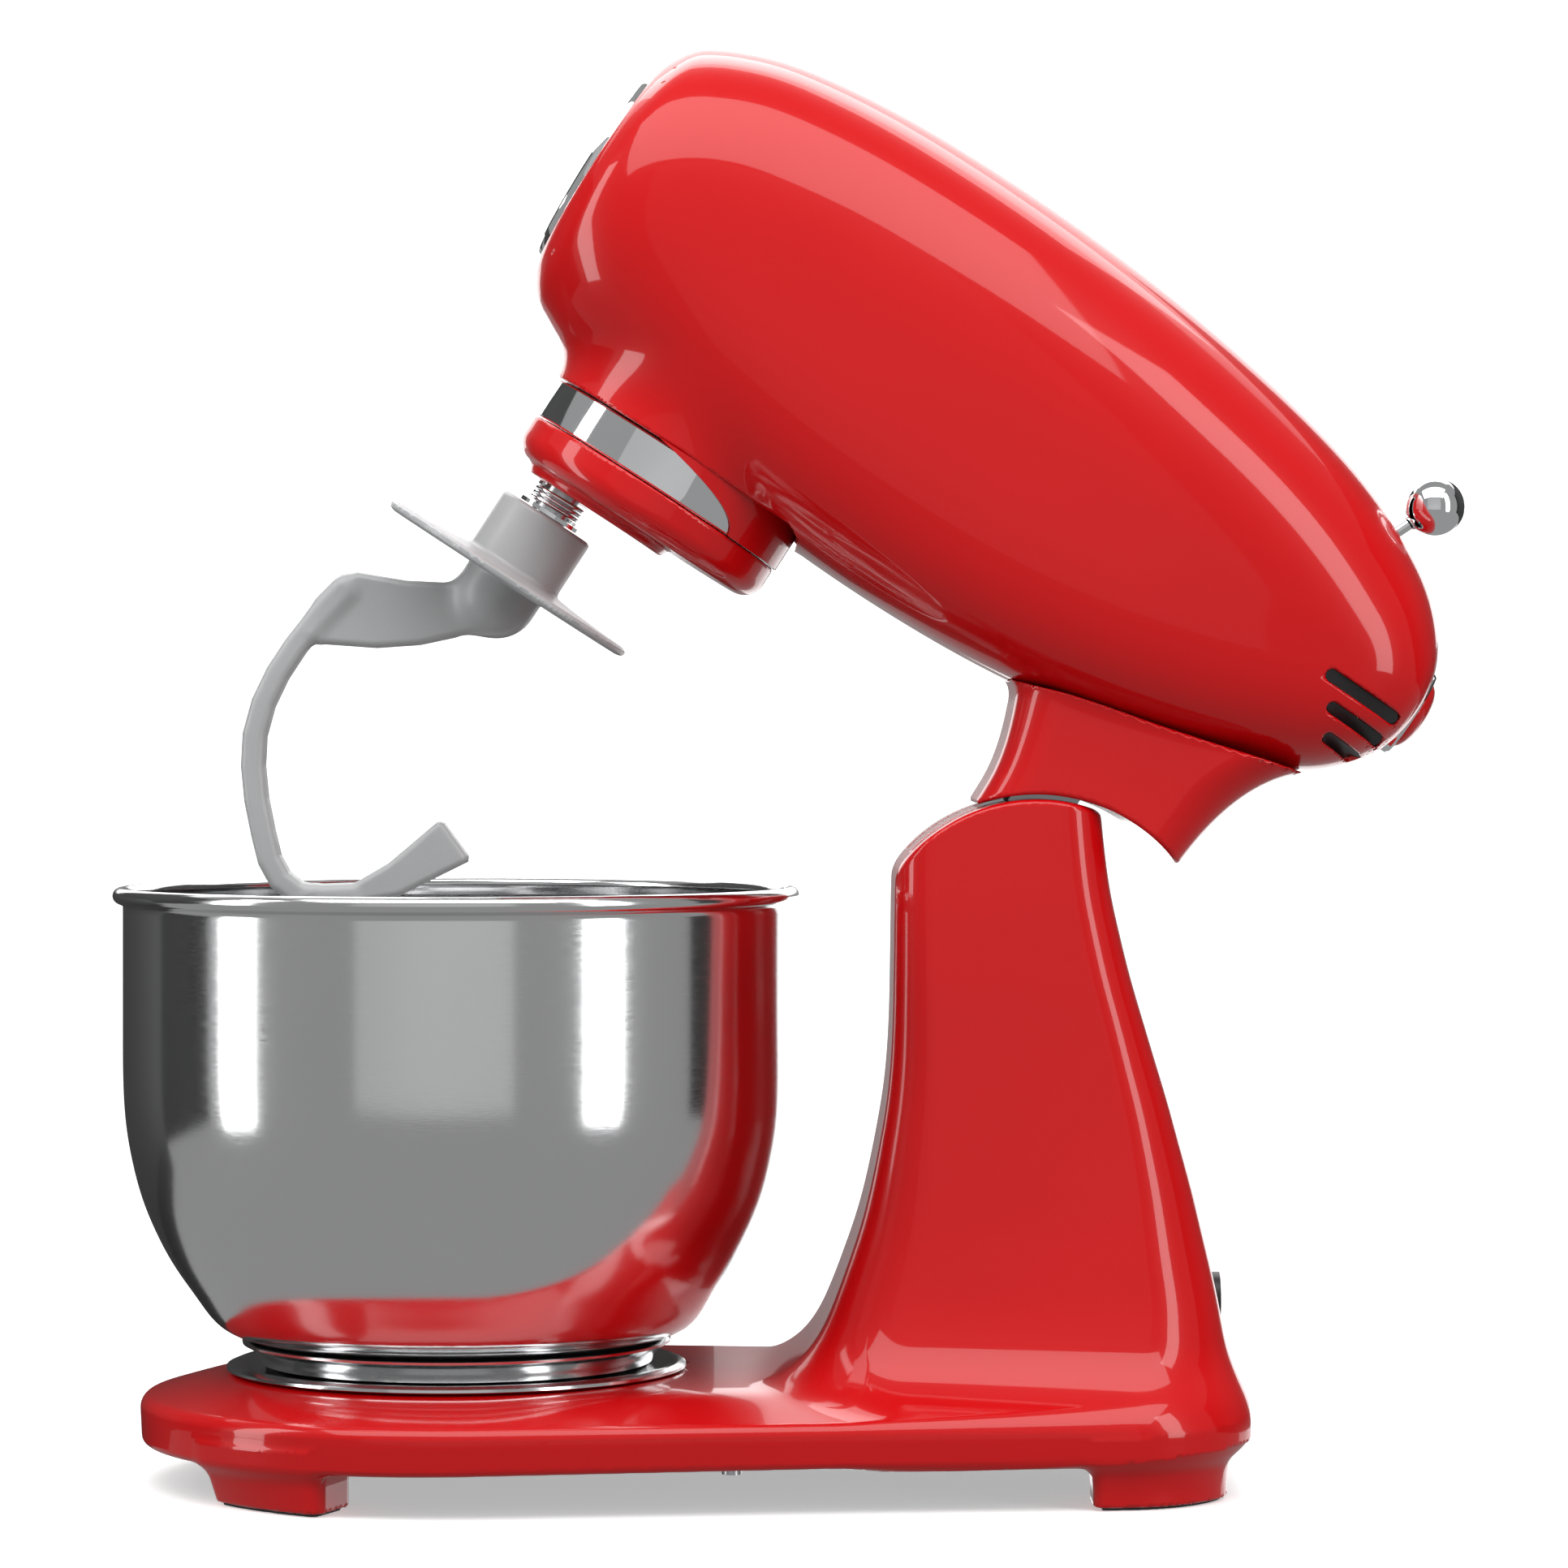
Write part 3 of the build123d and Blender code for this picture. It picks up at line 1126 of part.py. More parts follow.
# latch lever: upper arm behind the push rod, lower arm reaching down into the neck
LATCH_U, LATCH_V = 17.0, 106.0
with BuildPart() as latch_lever:
    with BuildSketch(head_side(LATCH_U, LATCH_V)):
        Circle(6.0)
        with BuildLine():
            Polyline((-3.0, 0), (-2.0, 31.0), (2.0, 42.0), (5.5, 42.0), (5.0, 31.0), (3.0, 0), close=True)
        make_face()
        with BuildLine():
            Polyline((-3.0, 0), (-14.0, -26.0), (-16.0, -38.4), (-9.0, -38.4), (-8.0, -27.0), (4.0, 0), close=True)
        make_face()
        Circle(3.04, mode=Mode.SUBTRACT)
    extrude(amount=4.0, both=True)
latch_lever.part.label = "latch_lever"
export_step(latch_lever.part, "parts/latch_lever.step")

with BuildPart() as latch_pin:
    with BuildSketch(head_side(LATCH_U, LATCH_V)):
        Circle(3.0)
    extrude(amount=12.0, both=True)
    for side in (-1, 1):
        with BuildSketch(head_side(LATCH_U, LATCH_V, 9.5 * side)):
            RectangleRounded(9.6, 9.6, 2.0)
        extrude(amount=2.5, both=True)
latch_pin.part.label = "latch_pin"
export_step(latch_pin.part, "parts/latch_pin.step")

# ---------------------------------------------------------------- accessory socket and its cap at the front
with BuildPart() as accessory_socket:
    with BuildSketch(head_across(-259.0, 147.0)):
        Circle(35.8)
        Circle(13.0, mode=Mode.SUBTRACT)
    extrude(amount=2.4)
    with BuildSketch(head_across(-259.0, 147.0)):
        Circle(17.0)
        Circle(13.0, mode=Mode.SUBTRACT)
    extrude(amount=17.0)
accessory_socket.part.label = "accessory_socket"
export_step(accessory_socket.part, "parts/accessory_socket.step")

with BuildPart() as front_cap:
    with BuildSketch(head_side(0, 147.0)):
        with BuildLine():
            Polyline((-260.0, 0), (-260.0, 12.4), (-262.4, 12.4), (-262.4, 35.6), (-268.6, 35.6), (-269.6, 34.6), (-270.7, 28.0), (-271.7, 18.0), (-272.3, 9.0), (-272.5, 0), close=True)
        make_face()
    revolve(axis=head_long_axis(147.0))
    with BuildSketch(head_across(-260.2, 147.0)):
        Circle(12.2)
    extrude(amount=6.0)
front_cap.part.label = "front_cap"
export_step(front_cap.part, "parts/front_cap.step")

# ---------------------------------------------------------------- louvre plates behind the vent slots
for side, name in ((-1, "vent_grille_right"), (1, "vent_grille_left")):
    with BuildPart() as grille:
        for u0, u1, v0, v1 in ((25.3, 54.5, 131.6, 136.0), (31.6, 54.5, 123.2, 127.3), (36.5, 52.6, 114.5, 118.5)):
            with BuildSketch(head_side((u0 + min(u1, 50.0)) / 2, (v0 + v1) / 2, 33.0 * side)):
                SlotOverall(min(u1, 50.0) - u0 - 0.8, v1 - v0 - 0.6)
            extrude(amount=-5.0 * side)
    grille.part.label = name
    export_step(grille.part, "parts/" + name + ".step")
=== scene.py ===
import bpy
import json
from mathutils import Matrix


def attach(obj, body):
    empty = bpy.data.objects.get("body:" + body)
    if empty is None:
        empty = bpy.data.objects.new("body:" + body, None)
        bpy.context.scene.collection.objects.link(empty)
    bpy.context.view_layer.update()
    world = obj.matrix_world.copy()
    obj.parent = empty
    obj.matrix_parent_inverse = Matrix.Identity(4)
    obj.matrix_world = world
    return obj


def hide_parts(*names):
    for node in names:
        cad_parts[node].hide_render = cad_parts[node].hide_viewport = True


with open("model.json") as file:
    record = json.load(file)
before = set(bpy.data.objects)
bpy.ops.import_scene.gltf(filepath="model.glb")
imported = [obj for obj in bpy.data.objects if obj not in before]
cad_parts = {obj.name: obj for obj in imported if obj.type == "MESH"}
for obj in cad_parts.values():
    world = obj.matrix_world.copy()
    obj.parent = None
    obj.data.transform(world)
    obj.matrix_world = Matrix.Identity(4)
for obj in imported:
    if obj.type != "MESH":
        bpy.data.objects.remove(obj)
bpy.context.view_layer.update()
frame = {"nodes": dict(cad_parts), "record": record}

import json
import math

import bmesh
import bpy
import numpy as np
from mathutils import Matrix, Vector

FINE = 1.25  # mesh cell of the large painted castings, in mm

# ------------------------------------------------------------------ the machine's dimensions (mm)
PX, PZ = 79.6, 171.4
TILT = math.radians(33.0)
CT, ST = math.cos(TILT), math.sin(TILT)
PLANET_U = -192.7
TOOL_U = PLANET_U - 25.5
BOWL_X = PX + PLANET_U
SEAM = [(-143.0, 76.4), (-100.0, 76.4), (-56.0, 77.4), (-45.0, 81.0), (-16.0, 88.6), (11.0, 95.6), (27.0, 100.0), (42.0, 104.0)]


def head_to_row(p):
    """Points (n, 3) in the head's own frame (u, y, v) to the row frame, in mm."""
    u, y, v = p[:, 0], p[:, 1], p[:, 2]
    return np.stack([PX + u * CT + v * ST, y, PZ - u * ST + v * CT], 1)


def head_dir(a, b, c):
    return Vector((a * CT + c * ST, b, -a * ST + c * CT))


# ------------------------------------------------------------------ implicit surfaces
def smin(a, b, k):
    h = np.clip(0.5 + 0.5 * (b - a) / k, 0, 1)
    return b + (a - b) * h - k * h * (1 - h)


def smax(a, b, k):
    return -smin(-a, -b, k)


def rmax(a, b, r):
    """Intersection with a round edge of radius r."""
    return np.minimum(np.maximum(a, b), -r) + np.hypot(np.maximum(a + r, 0), np.maximum(b + r, 0))


def spline(xs, ys):
    """Natural cubic spline through the points, clamped outside them."""
    xs, ys = np.asarray(xs, float), np.asarray(ys, float)
    n = len(xs)
    h = np.diff(xs)
    a = np.zeros((n, n))
    rhs = np.zeros(n)
    a[0, 0] = a[-1, -1] = 1
    for i in range(1, n - 1):
        a[i, i - 1], a[i, i], a[i, i + 1] = h[i - 1], 2 * (h[i - 1] + h[i]), h[i]
        rhs[i] = 6 * ((ys[i + 1] - ys[i]) / h[i] - (ys[i] - ys[i - 1]) / h[i - 1])
    m = np.linalg.solve(a, rhs)
    fine = np.linspace(xs[0], xs[-1], 1200)
    i = np.clip(np.searchsorted(xs, fine) - 1, 0, n - 2)
    t0, t1 = xs[i + 1] - fine, fine - xs[i]
    val = (m[i] * t0 ** 3 + m[i + 1] * t1 ** 3) / (6 * h[i]) + (ys[i] / h[i] - m[i] * h[i] / 6) * t0 + (ys[i + 1] / h[i] - m[i + 1] * h[i] / 6) * t1
    return lambda x: np.interp(x, fine, val)


def rounded_rect(px, py, bx, by, r):
    qx, qy = np.abs(px) - bx + r, np.abs(py) - by + r
    return np.hypot(np.maximum(qx, 0), np.maximum(qy, 0)) + np.minimum(np.maximum(qx, qy), 0) - r


def segment(px, py, ax, ay, bx, by):
    dx, dy = bx - ax, by - ay
    t = np.clip(((px - ax) * dx + (py - ay) * dy) / (dx * dx + dy * dy), 0, 1)
    return np.hypot(px - ax - t * dx, py - ay - t * dy), t


def polygon(px, py, pts):
    """Signed distance to a closed polygon."""
    d = np.full(px.shape, 1e9)
    inside = np.zeros(px.shape, bool)
    n = len(pts)
    for i in range(n):
        (ax, ay), (bx, by) = pts[i], pts[(i + 1) % n]
        e, _ = segment(px, py, ax, ay, bx, by)
        d = np.minimum(d, e)
        if ay != by:
            cross = (ay > py) != (by > py)
            inside ^= cross & (px < (bx - ax) * (py - ay) / (by - ay) + ax)
    return np.where(inside, -d, d)


def surface(field, low, high, step):
    """Quads on field = 0, with its smooth normals: dual contouring on a grid, then pulled onto the surface."""
    axes = [np.arange(low[i] - 1.5 * step, high[i] + 2.5 * step, step) for i in range(3)]
    gx, gy, gz = np.meshgrid(*axes, indexing="ij")
    f = np.empty(gx.shape, np.float32)
    for i in range(0, gx.shape[0], 24):
        f[i:i + 24] = field(gx[i:i + 24], gy[i:i + 24], gz[i:i + 24])
    neg = f < 0
    nx, ny, nz = f.shape
    total = np.zeros((nx - 1, ny - 1, nz - 1, 3))
    count = np.zeros((nx - 1, ny - 1, nz - 1))
    corners = [(a, b, c) for a in (0, 1) for b in (0, 1) for c in (0, 1)]
    for c0 in corners:
        for axis in range(3):
            if c0[axis]:
                continue
            c1 = list(c0)
            c1[axis] = 1
            s0 = tuple(slice(c0[i], f.shape[i] - 1 + c0[i]) for i in range(3))
            s1 = tuple(slice(c1[i], f.shape[i] - 1 + c1[i]) for i in range(3))
            cross = neg[s0] != neg[s1]
            ids = np.nonzero(cross)
            f0, f1 = f[s0][ids], f[s1][ids]
            t = f0 / (f0 - f1)
            p = np.stack([ids[i] + c0[i] + (t if i == axis else 0) for i in range(3)], 1).astype(float)
            np.add.at(total, ids, p)
            np.add.at(count, ids, 1)
    cells = np.nonzero(count > 0)
    index = np.full(count.shape, -1, np.int64)
    index[cells] = np.arange(len(cells[0]))
    points = total[cells] / count[cells][:, None] * step + np.array([a[0] for a in axes])
    quads = []
    for axis in range(3):
        o1, o2 = [i for i in range(3) if i != axis]
        sl0 = [slice(1, -1)] * 3
        sl1 = [slice(1, -1)] * 3
        sl0[axis], sl1[axis] = slice(0, -1), slice(1, None)
        a, b = neg[tuple(sl0)], neg[tuple(sl1)]
        ids = np.array(np.nonzero(a != b))
        if ids.size == 0:
            continue
        start = ids.copy()
        start[o1] += 1
        start[o2] += 1
        flip = a[tuple(ids)]
        ring = []
        for d1, d2 in ((0, 0), (-1, 0), (-1, -1), (0, -1)):
            q = start.copy()
            q[o1] += d1
            q[o2] += d2
            ring.append(index[tuple(q)])
        q = np.stack(ring, 1)
        if axis == 1:
            flip = ~flip
        q[~flip] = q[~flip][:, ::-1]
        quads.append(q[:, ::-1] if False else q)
    quads = np.concatenate(quads)
    quads = quads[(quads >= 0).all(1)]
    for _ in range(4):
        value, grad = gradient(field, points)
        length = np.maximum((grad ** 2).sum(1), 1e-3)
        move = -(value / length)[:, None] * grad
        size = np.linalg.norm(move, axis=1, keepdims=True)
        move *= np.minimum(1, 0.6 * step / np.maximum(size, 1e-9))
        points = points + move
    _, grad = gradient(field, points)
    normals = grad / np.maximum(np.linalg.norm(grad, axis=1, keepdims=True), 1e-9)
    return points, quads, normals


def gradient(field, p, e=0.06):
    x, y, z = p[:, 0], p[:, 1], p[:, 2]
    g = np.stack([
        field(x + e, y, z) - field(x - e, y, z),
        field(x, y + e, z) - field(x, y - e, z),
        field(x, y, z + e) - field(x, y, z - e),
    ], 1) / (2 * e)
    return field(x, y, z), g


def piece(name, points, faces, body, material, normals=None, node=None, smooth=True, head=False, auto=None):
    """Makes a mesh piece in metres from points in mm; head=True means points in the head's own frame."""
    pts = np.asarray(points, float)
    nrm = None if normals is None else np.asarray(normals, float)
    if head:
        pts = head_to_row(pts)
        if nrm is not None:
            nrm = np.stack([nrm[:, 0] * CT + nrm[:, 2] * ST, nrm[:, 1], -nrm[:, 0] * ST + nrm[:, 2] * CT], 1)
    mesh = bpy.data.meshes.new(name)
    mesh.from_pydata((pts / 1000).tolist(), [], [list(map(int, f)) for f in faces])
    mesh.validate()
    mesh.polygons.foreach_set("use_smooth", [smooth] * len(mesh.polygons))
    obj = bpy.data.objects.new(name, mesh)
    bpy.context.scene.collection.objects.link(obj)
    if nrm is not None and len(mesh.vertices) == len(nrm):
        # outward faces agree with the field's gradient
        poly = mesh.polygons
        centre = np.zeros(len(poly) * 3)
        poly.foreach_get("normal", centre)
        centre = centre.reshape(-1, 3)
        first = np.array([p.vertices[0] for p in poly])
        if (centre * nrm[first]).sum(1).mean() < 0:
            mesh.flip_normals()
        mesh.normals_split_custom_set_from_vertices(nrm.tolist())
    elif auto is not None:
        bm = bmesh.new()
        bm.from_mesh(mesh)
        bmesh.ops.recalc_face_normals(bm, faces=bm.faces)
        for e in bm.edges:
            if len(e.link_faces) == 2 and e.calc_face_angle(0) > math.radians(auto):
                e.smooth = False
        bm.to_mesh(mesh)
        bm.free()
    mesh.materials.append(material)
    if node:
        nodes = [node] if isinstance(node, str) else node
        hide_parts(*nodes)
    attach(obj, body)
    return obj


def lathe(name, profile, centre, axis, body, material, node=None, turns=128, auto=32):
    """A turned piece: profile (r, h) in mm about axis through centre, both in the row frame."""
    axis = Vector(axis).normalized()
    side = Vector((0, 1, 0)) if abs(axis.y) < 0.9 else Vector((1, 0, 0))
    e1 = side.cross(axis).normalized()
    e2 = axis.cross(e1)
    c = Vector(centre)
    pts, faces, rings = [], [], []
    for r, h in profile:
        if r < 1e-6:
            rings.append([len(pts)])
            pts.append(c + axis * h)
        else:
            ring = []
            for k in range(turns):
                a = 2 * math.pi * k / turns
                ring.append(len(pts))
                pts.append(c + axis * h + (e1 * math.cos(a) + e2 * math.sin(a)) * r)
            rings.append(ring)
    closed = profile[0] == profile[-1]
    pairs = list(zip(rings, rings[1:]))
    for r0, r1 in pairs:
        for k in range(turns):
            k2 = (k + 1) % turns
            if len(r0) == 1 and len(r1) == 1:
                continue
            if len(r0) == 1:
                faces.append((r0[0], r1[k], r1[k2]))
            elif len(r1) == 1:
                faces.append((r0[k], r1[0], r0[k2]))
            else:
                faces.append((r0[k], r1[k], r1[k2], r0[k2]))
    obj = piece(name, [tuple(p) for p in pts], faces, body, material, node=node, auto=auto)
    if closed:
        bm = bmesh.new()
        bm.from_mesh(obj.data)
        bmesh.ops.remove_doubles(bm, verts=bm.verts, dist=1e-7)
        bm.to_mesh(obj.data)
        bm.free()
    return obj


def arc(cx, cy, r, a0, a1, n=8):
    return [(cx + r * math.cos(math.radians(a0 + (a1 - a0) * i / n)), cy + r * math.sin(math.radians(a0 + (a1 - a0) * i / n))) for i in range(n + 1)]


# ------------------------------------------------------------------ materials
def material(name, colour, rough, metal=0.0, coat=0.0, coat_rough=0.03, bump=0.0, bump_scale=300.0, vary=0.04, vary_scale=9.0, rough_vary=0.04, brushed=None, speckle=0.0, aniso=0.0, spec=0.5):
    m = bpy.data.materials.new(name)
    m.use_nodes = True
    nt = m.node_tree
    b = nt.nodes["Principled BSDF"]
    b.inputs["Metallic"].default_value = metal
    b.inputs["Coat Weight"].default_value = coat
    b.inputs["Coat Roughness"].default_value = coat_rough
    b.inputs["Anisotropic"].default_value = aniso
    b.inputs["Specular IOR Level"].default_value = spec
    tc = nt.nodes.new("ShaderNodeTexCoord")
    mp = nt.nodes.new("ShaderNodeMapping")
    nt.links.new(tc.outputs["Object"], mp.inputs["Vector"])
    if brushed:
        mp.inputs["Scale"].default_value = brushed
    broad = nt.nodes.new("ShaderNodeTexNoise")
    broad.inputs["Scale"].default_value = vary_scale
    broad.inputs["Detail"].default_value = 4.0
    nt.links.new(tc.outputs["Object"], broad.inputs["Vector"])
    ramp = nt.nodes.new("ShaderNodeMapRange")
    ramp.inputs["From Min"].default_value = 0.3
    ramp.inputs["From Max"].default_value = 0.7
    nt.links.new(broad.outputs["Fac"], ramp.inputs["Value"])
    mix = nt.nodes.new("ShaderNodeMix")
    mix.data_type = "RGBA"
    mix.inputs["A"].default_value = (*[c * (1 - vary) for c in colour], 1)
    mix.inputs["B"].default_value = (*[min(1, c * (1 + vary)) for c in colour], 1)
    nt.links.new(ramp.outputs["Result"], mix.inputs["Factor"])
    out = mix.outputs["Result"]
    fine = nt.nodes.new("ShaderNodeTexNoise")
    fine.inputs["Scale"].default_value = bump_scale
    fine.inputs["Detail"].default_value = 5.0
    nt.links.new(mp.outputs["Vector"], fine.inputs["Vector"])
    if speckle:
        mix2 = nt.nodes.new("ShaderNodeMix")
        mix2.data_type = "RGBA"
        mix2.blend_type = "MULTIPLY"
        mix2.inputs["Factor"].default_value = speckle
        nt.links.new(out, mix2.inputs["A"])
        nt.links.new(fine.outputs["Color"], mix2.inputs["B"])
        out = mix2.outputs["Result"]
    nt.links.new(out, b.inputs["Base Color"])
    rr = nt.nodes.new("ShaderNodeMapRange")
    rr.inputs["From Min"].default_value = 0.3
    rr.inputs["From Max"].default_value = 0.7
    rr.inputs["To Min"].default_value = max(0.0, rough - rough_vary)
    rr.inputs["To Max"].default_value = rough + rough_vary
    nt.links.new((fine if brushed else broad).outputs["Fac"], rr.inputs["Value"])
    nt.links.new(rr.outputs["Result"], b.inputs["Roughness"])
    if bump:
        bp = nt.nodes.new("ShaderNodeBump")
        bp.inputs["Strength"].default_value = bump
        bp.inputs["Distance"].default_value = 0.0002
        nt.links.new(fine.outputs["Fac"], bp.inputs["Height"])
        nt.links.new(bp.outputs["Normal"], b.inputs["Normal"])
    return m


RED = material("red_enamel", (0.57, 0.0020, 0.0036), 0.30, coat=0.7, coat_rough=0.05, bump=0.010, bump_scale=170.0, vary=0.03, rough_vary=0.03, spec=0.12)
CHROME = material("chrome_plate", (0.86, 0.87, 0.88), 0.045, metal=1.0, bump=0.01, bump_scale=260.0, vary=0.015, rough_vary=0.02)
BOWL = material("bowl_polished_steel", (0.74, 0.745, 0.75), 0.13, metal=1.0, bump=0.03, bump_scale=60.0, brushed=(4.0, 4.0, 60.0), vary=0.02, rough_vary=0.03)
STEEL = material("satin_steel", (0.56, 0.57, 0.59), 0.28, metal=1.0, bump=0.05, bump_scale=500.0, vary=0.05, rough_vary=0.06)
HOOK = material("hook_coated_cast", (0.39, 0.395, 0.40), 0.42, metal=0.0, coat=0.25, coat_rough=0.3, bump=0.22, bump_scale=900.0, vary=0.035, vary_scale=22.0, rough_vary=0.06)
CAST = material("cast_aluminium_raw", (0.62, 0.63, 0.65), 0.45, metal=1.0, bump=0.4, bump_scale=700.0, vary=0.06)
BLACK = material("black_plastic_grained", (0.012, 0.012, 0.013), 0.42, bump=0.25, bump_scale=1500.0, vary=0.1)
RUBBER = material("foot_rubber", (0.025, 0.025, 0.026), 0.7, bump=0.3, bump_scale=900.0, vary=0.1)
NYLON = material("white_nylon_moulded", (0.78, 0.77, 0.72), 0.4, bump=0.1, bump_scale=800.0)
COPPER = material("copper_winding", (0.70, 0.33, 0.16), 0.3, metal=1.0, bump=0.6, bump_scale=900.0, brushed=(1.0, 14.0, 1.0))
IRON = material("lamination_iron", (0.26, 0.26, 0.28), 0.5, metal=1.0, bump=0.5, bump_scale=600.0, brushed=(20.0, 1.0, 1.0))
BOARD = material("board_green", (0.03, 0.22, 0.09), 0.35, bump=0.3, bump_scale=400.0, vary=0.2, vary_scale=90.0)
GASKET = material("gasket_grey", (0.12, 0.12, 0.12), 0.7, bump=0.3, bump_scale=900.0)
BY_SLOT = {"red_paint": RED, "chrome": CHROME, "bowl_steel": BOWL, "steel": STEEL, "hook_grey": HOOK, "cast_aluminium": CAST, "rubber": RUBBER, "black_plastic": BLACK, "white_nylon": NYLON, "copper": COPPER, "core_iron": IRON, "board_green": BOARD, "gasket": GASKET}
for entry in frame["record"]["subparts"]:
    node = frame["nodes"][entry["node"]]
    chosen = BY_SLOT[entry["material_slot"]]
    if not node.data.materials:
        node.data.materials.append(chosen)
    for i in range(len(node.data.materials)):
        node.data.materials[i] = chosen

# ------------------------------------------------------------------ head casing
STATIONS = np.array([
    (-267.0, 187.6, 106.0, 40.6, 2.05, 2.05),
    (-262.0, 195.4, 98.8, 46.6, 2.12, 2.12),
    (-256.0, 200.2, 94.6, 50.6, 2.20, 2.20),
    (-247.0, 204.6, 90.2, 54.2, 2.26, 2.26),
    (-234.0, 209.2, 86.6, 57.4, 2.32, 2.34),
    (-215.0, 213.0, 82.6, 60.0, 2.38, 2.55),
    (-192.0, 215.6, 78.8, 61.8, 2.42, 2.9),
    (-165.0, 216.8, 75.6, 62.8, 2.44, 3.3),
    (-135.0, 216.7, 73.8, 63.2, 2.46, 3.6),
    (-105.0, 215.4, 73.6, 63.0, 2.46, 3.8),
    (-75.0, 212.7, 75.0, 62.2, 2.46, 3.9),
    (-45.0, 208.4, 78.6, 60.6, 2.44, 3.9),
    (-15.0, 202.4, 84.8, 58.0, 2.42, 3.7),
    (10.0, 194.8, 91.6, 54.8, 2.38, 3.4),
    (30.0, 185.6, 99.0, 51.0, 2.34, 3.0),
    (43.0, 177.2, 106.4, 47.0, 2.30, 2.7),
    (51.5, 168.8, 114.4, 42.2, 2.26, 2.4),
    (57.0, 160.6, 122.4, 36.0, 2.20, 2.2),
    (59.8, 154.6, 128.0, 30.0, 2.12, 2.12),
])
_top, _bot, _half, _nt, _nb = [spline(STATIONS[:, 0], STATIONS[:, k]) for k in range(1, 6)]
_seam = spline([p[0] for p in SEAM], [p[1] for p in SEAM])


def head_form(u, y, v, inset=0.0):
    """Pseudo distance to the head's outer form, drawn in by inset."""
    uc = np.clip(u, -267.0, 59.8)
    top, bot, half = _top(uc), _bot(uc), _half(uc)
    n = np.where(v > (top + bot) / 2, _nt(uc), _nb(uc))
    hh = (top - bot) / 2 - inset
    hw = half - inset
    q = (np.abs(y / hw) ** n + np.abs((v - (top + bot) / 2) / hh) ** n) ** (1 / n)
    d = (q - 1) * np.minimum(hw, hh)
    d = rmax(d, -267.0 + inset - u, 2.2)
    return rmax(d, u - 59.8 + inset, 3.0)


def slot2d(a, b, la, lb):
    """Slot with round ends: half length la, half width lb, from the centre."""
    return np.hypot(np.maximum(np.abs(a) - la + lb, 0), b) - lb


VENTS = ((25.3, 54.5, 131.6, 136.0), (31.6, 54.5, 123.2, 127.3), (36.5, 52.6, 114.5, 118.5))


def shell_field(u, y, v):
    outer = head_form(u, y, v)
    rho = np.hypot(u - PLANET_U, y)
    collar = rmax(rho - 48.3, 79.2 - v, 0.8)
    collar = smax(collar, v - 112.0, 2.0)
    f = smin(outer, collar, 9.0)
    f = rmax(f, np.where(u < -143.0, 79.2 - v, -50.0) + np.where((rho < 60) & (v < 90), 0.0, -50.0), 0.8)
    inner = head_form(u, y, v, 3.0)
    f = smax(f, -inner, 0.6)
    f = smax(f, -np.maximum(rho - 44.6, v - 106.0), 0.6)
    # joint with the lower housing
    seam = _seam(np.clip(u, -143.0, 42.0))
    under = np.maximum(v - seam - 0.03, np.maximum(-58.0 - u, u - 42.0))
    f = rmax(f, -under, 0.2)
    # front cap seat, release button, lever slot, vents
    f = rmax(f, -np.maximum(np.hypot(y, v - 147.0) - 36.9, u + 240.0), 0.7)
    f = rmax(f, -np.maximum(np.hypot(y, v - 140.6) - 16.3, 50.0 - u), 0.7)
    f = rmax(f, -np.maximum(slot2d(u - 13.8, y, 15.4, 3.5), 150.0 - v), 0.6)
    for u0, u1, v0, v1 in VENTS:
        a = slot2d(u - (u0 + u1) / 2, v - (v0 + v1) / 2, (u1 - u0) / 2, (v1 - v0) / 2)
        f = rmax(f, -np.maximum(a, 20.0 - np.abs(y)), 0.5)
    return f


points, quads, normals = surface(shell_field, (-268, -64, 72), (61, 64, 218), FINE)
shell = piece("head_shell_painted", points, quads, "head", RED, normals, "head_shell", head=True)

# ------------------------------------------------------------------ lower housing with the neck
NECK = np.array([
    (24.0, -46.4, 19.4, 44.6, 13.0),
    (36.0, -46.9, 19.6, 44.4, 13.0),
    (48.0, -47.4, 20.0, 44.0, 13.5),
    (58.0, -49.4, 20.6, 43.6, 14.0),
    (68.0, -52.8, 21.8, 43.4, 15.0),
    (78.0, -57.0, 24.0, 43.6, 16.0),
    (88.0, -62.0, 27.6, 44.2, 16.0),
    (97.0, -68.0, 33.0, 45.0, 16.0),
    (106.0, -74.0, 41.0, 46.0, 16.0),
])
_nf, _nr, _nh, _nc = [spline(NECK[:, 0], NECK[:, k]) for k in range(1, 5)]


def lower_field(u, y, v):
    vc = np.clip(v, 24.0, 106.0)
    front, rear, half, radius = _nf(vc), _nr(vc), _nh(vc), _nc(vc)
    neck = rounded_rect(u - (front + rear) / 2, y, (rear - front) / 2, half, radius)
    rho = np.hypot(u, v)
    neck_in = np.maximum(neck + 3.4, np.maximum(61.6 - rho, 30 - v))
    neck = rmax(neck, 58.3 - rho, 1.4)
    neck = rmax(neck, 34.4 - v, 1.2)
    head = head_form(u, y, v)
    f = smin(neck, np.maximum(head, -58.0 - u), 6.0)
    seam = _seam(np.clip(u, -143.0, 42.0))
    f = rmax(f, v - seam + 0.03, 0.2)
    f = smax(f, -head_form(u, y, v, 3.0), 0.5)
    f = smax(f, -neck_in, 0.5)
    f = np.maximum(f, 48.9 - np.hypot(u - PLANET_U, y))
    for side in (-1, 1):
        arm = np.maximum(np.abs(y - 24.0 * side) - 3.8, np.maximum(np.abs(u + 28.0) - 12.2, np.maximum(28 - v, v - 70)))
        f = smax(f, -arm, 0.5)
    return f


points, quads, normals = surface(lower_field, (-64, -52, 32), (44, 52, 107), FINE)
piece("head_lower_painted", points, quads, "head", RED, normals, "head_lower", head=True)

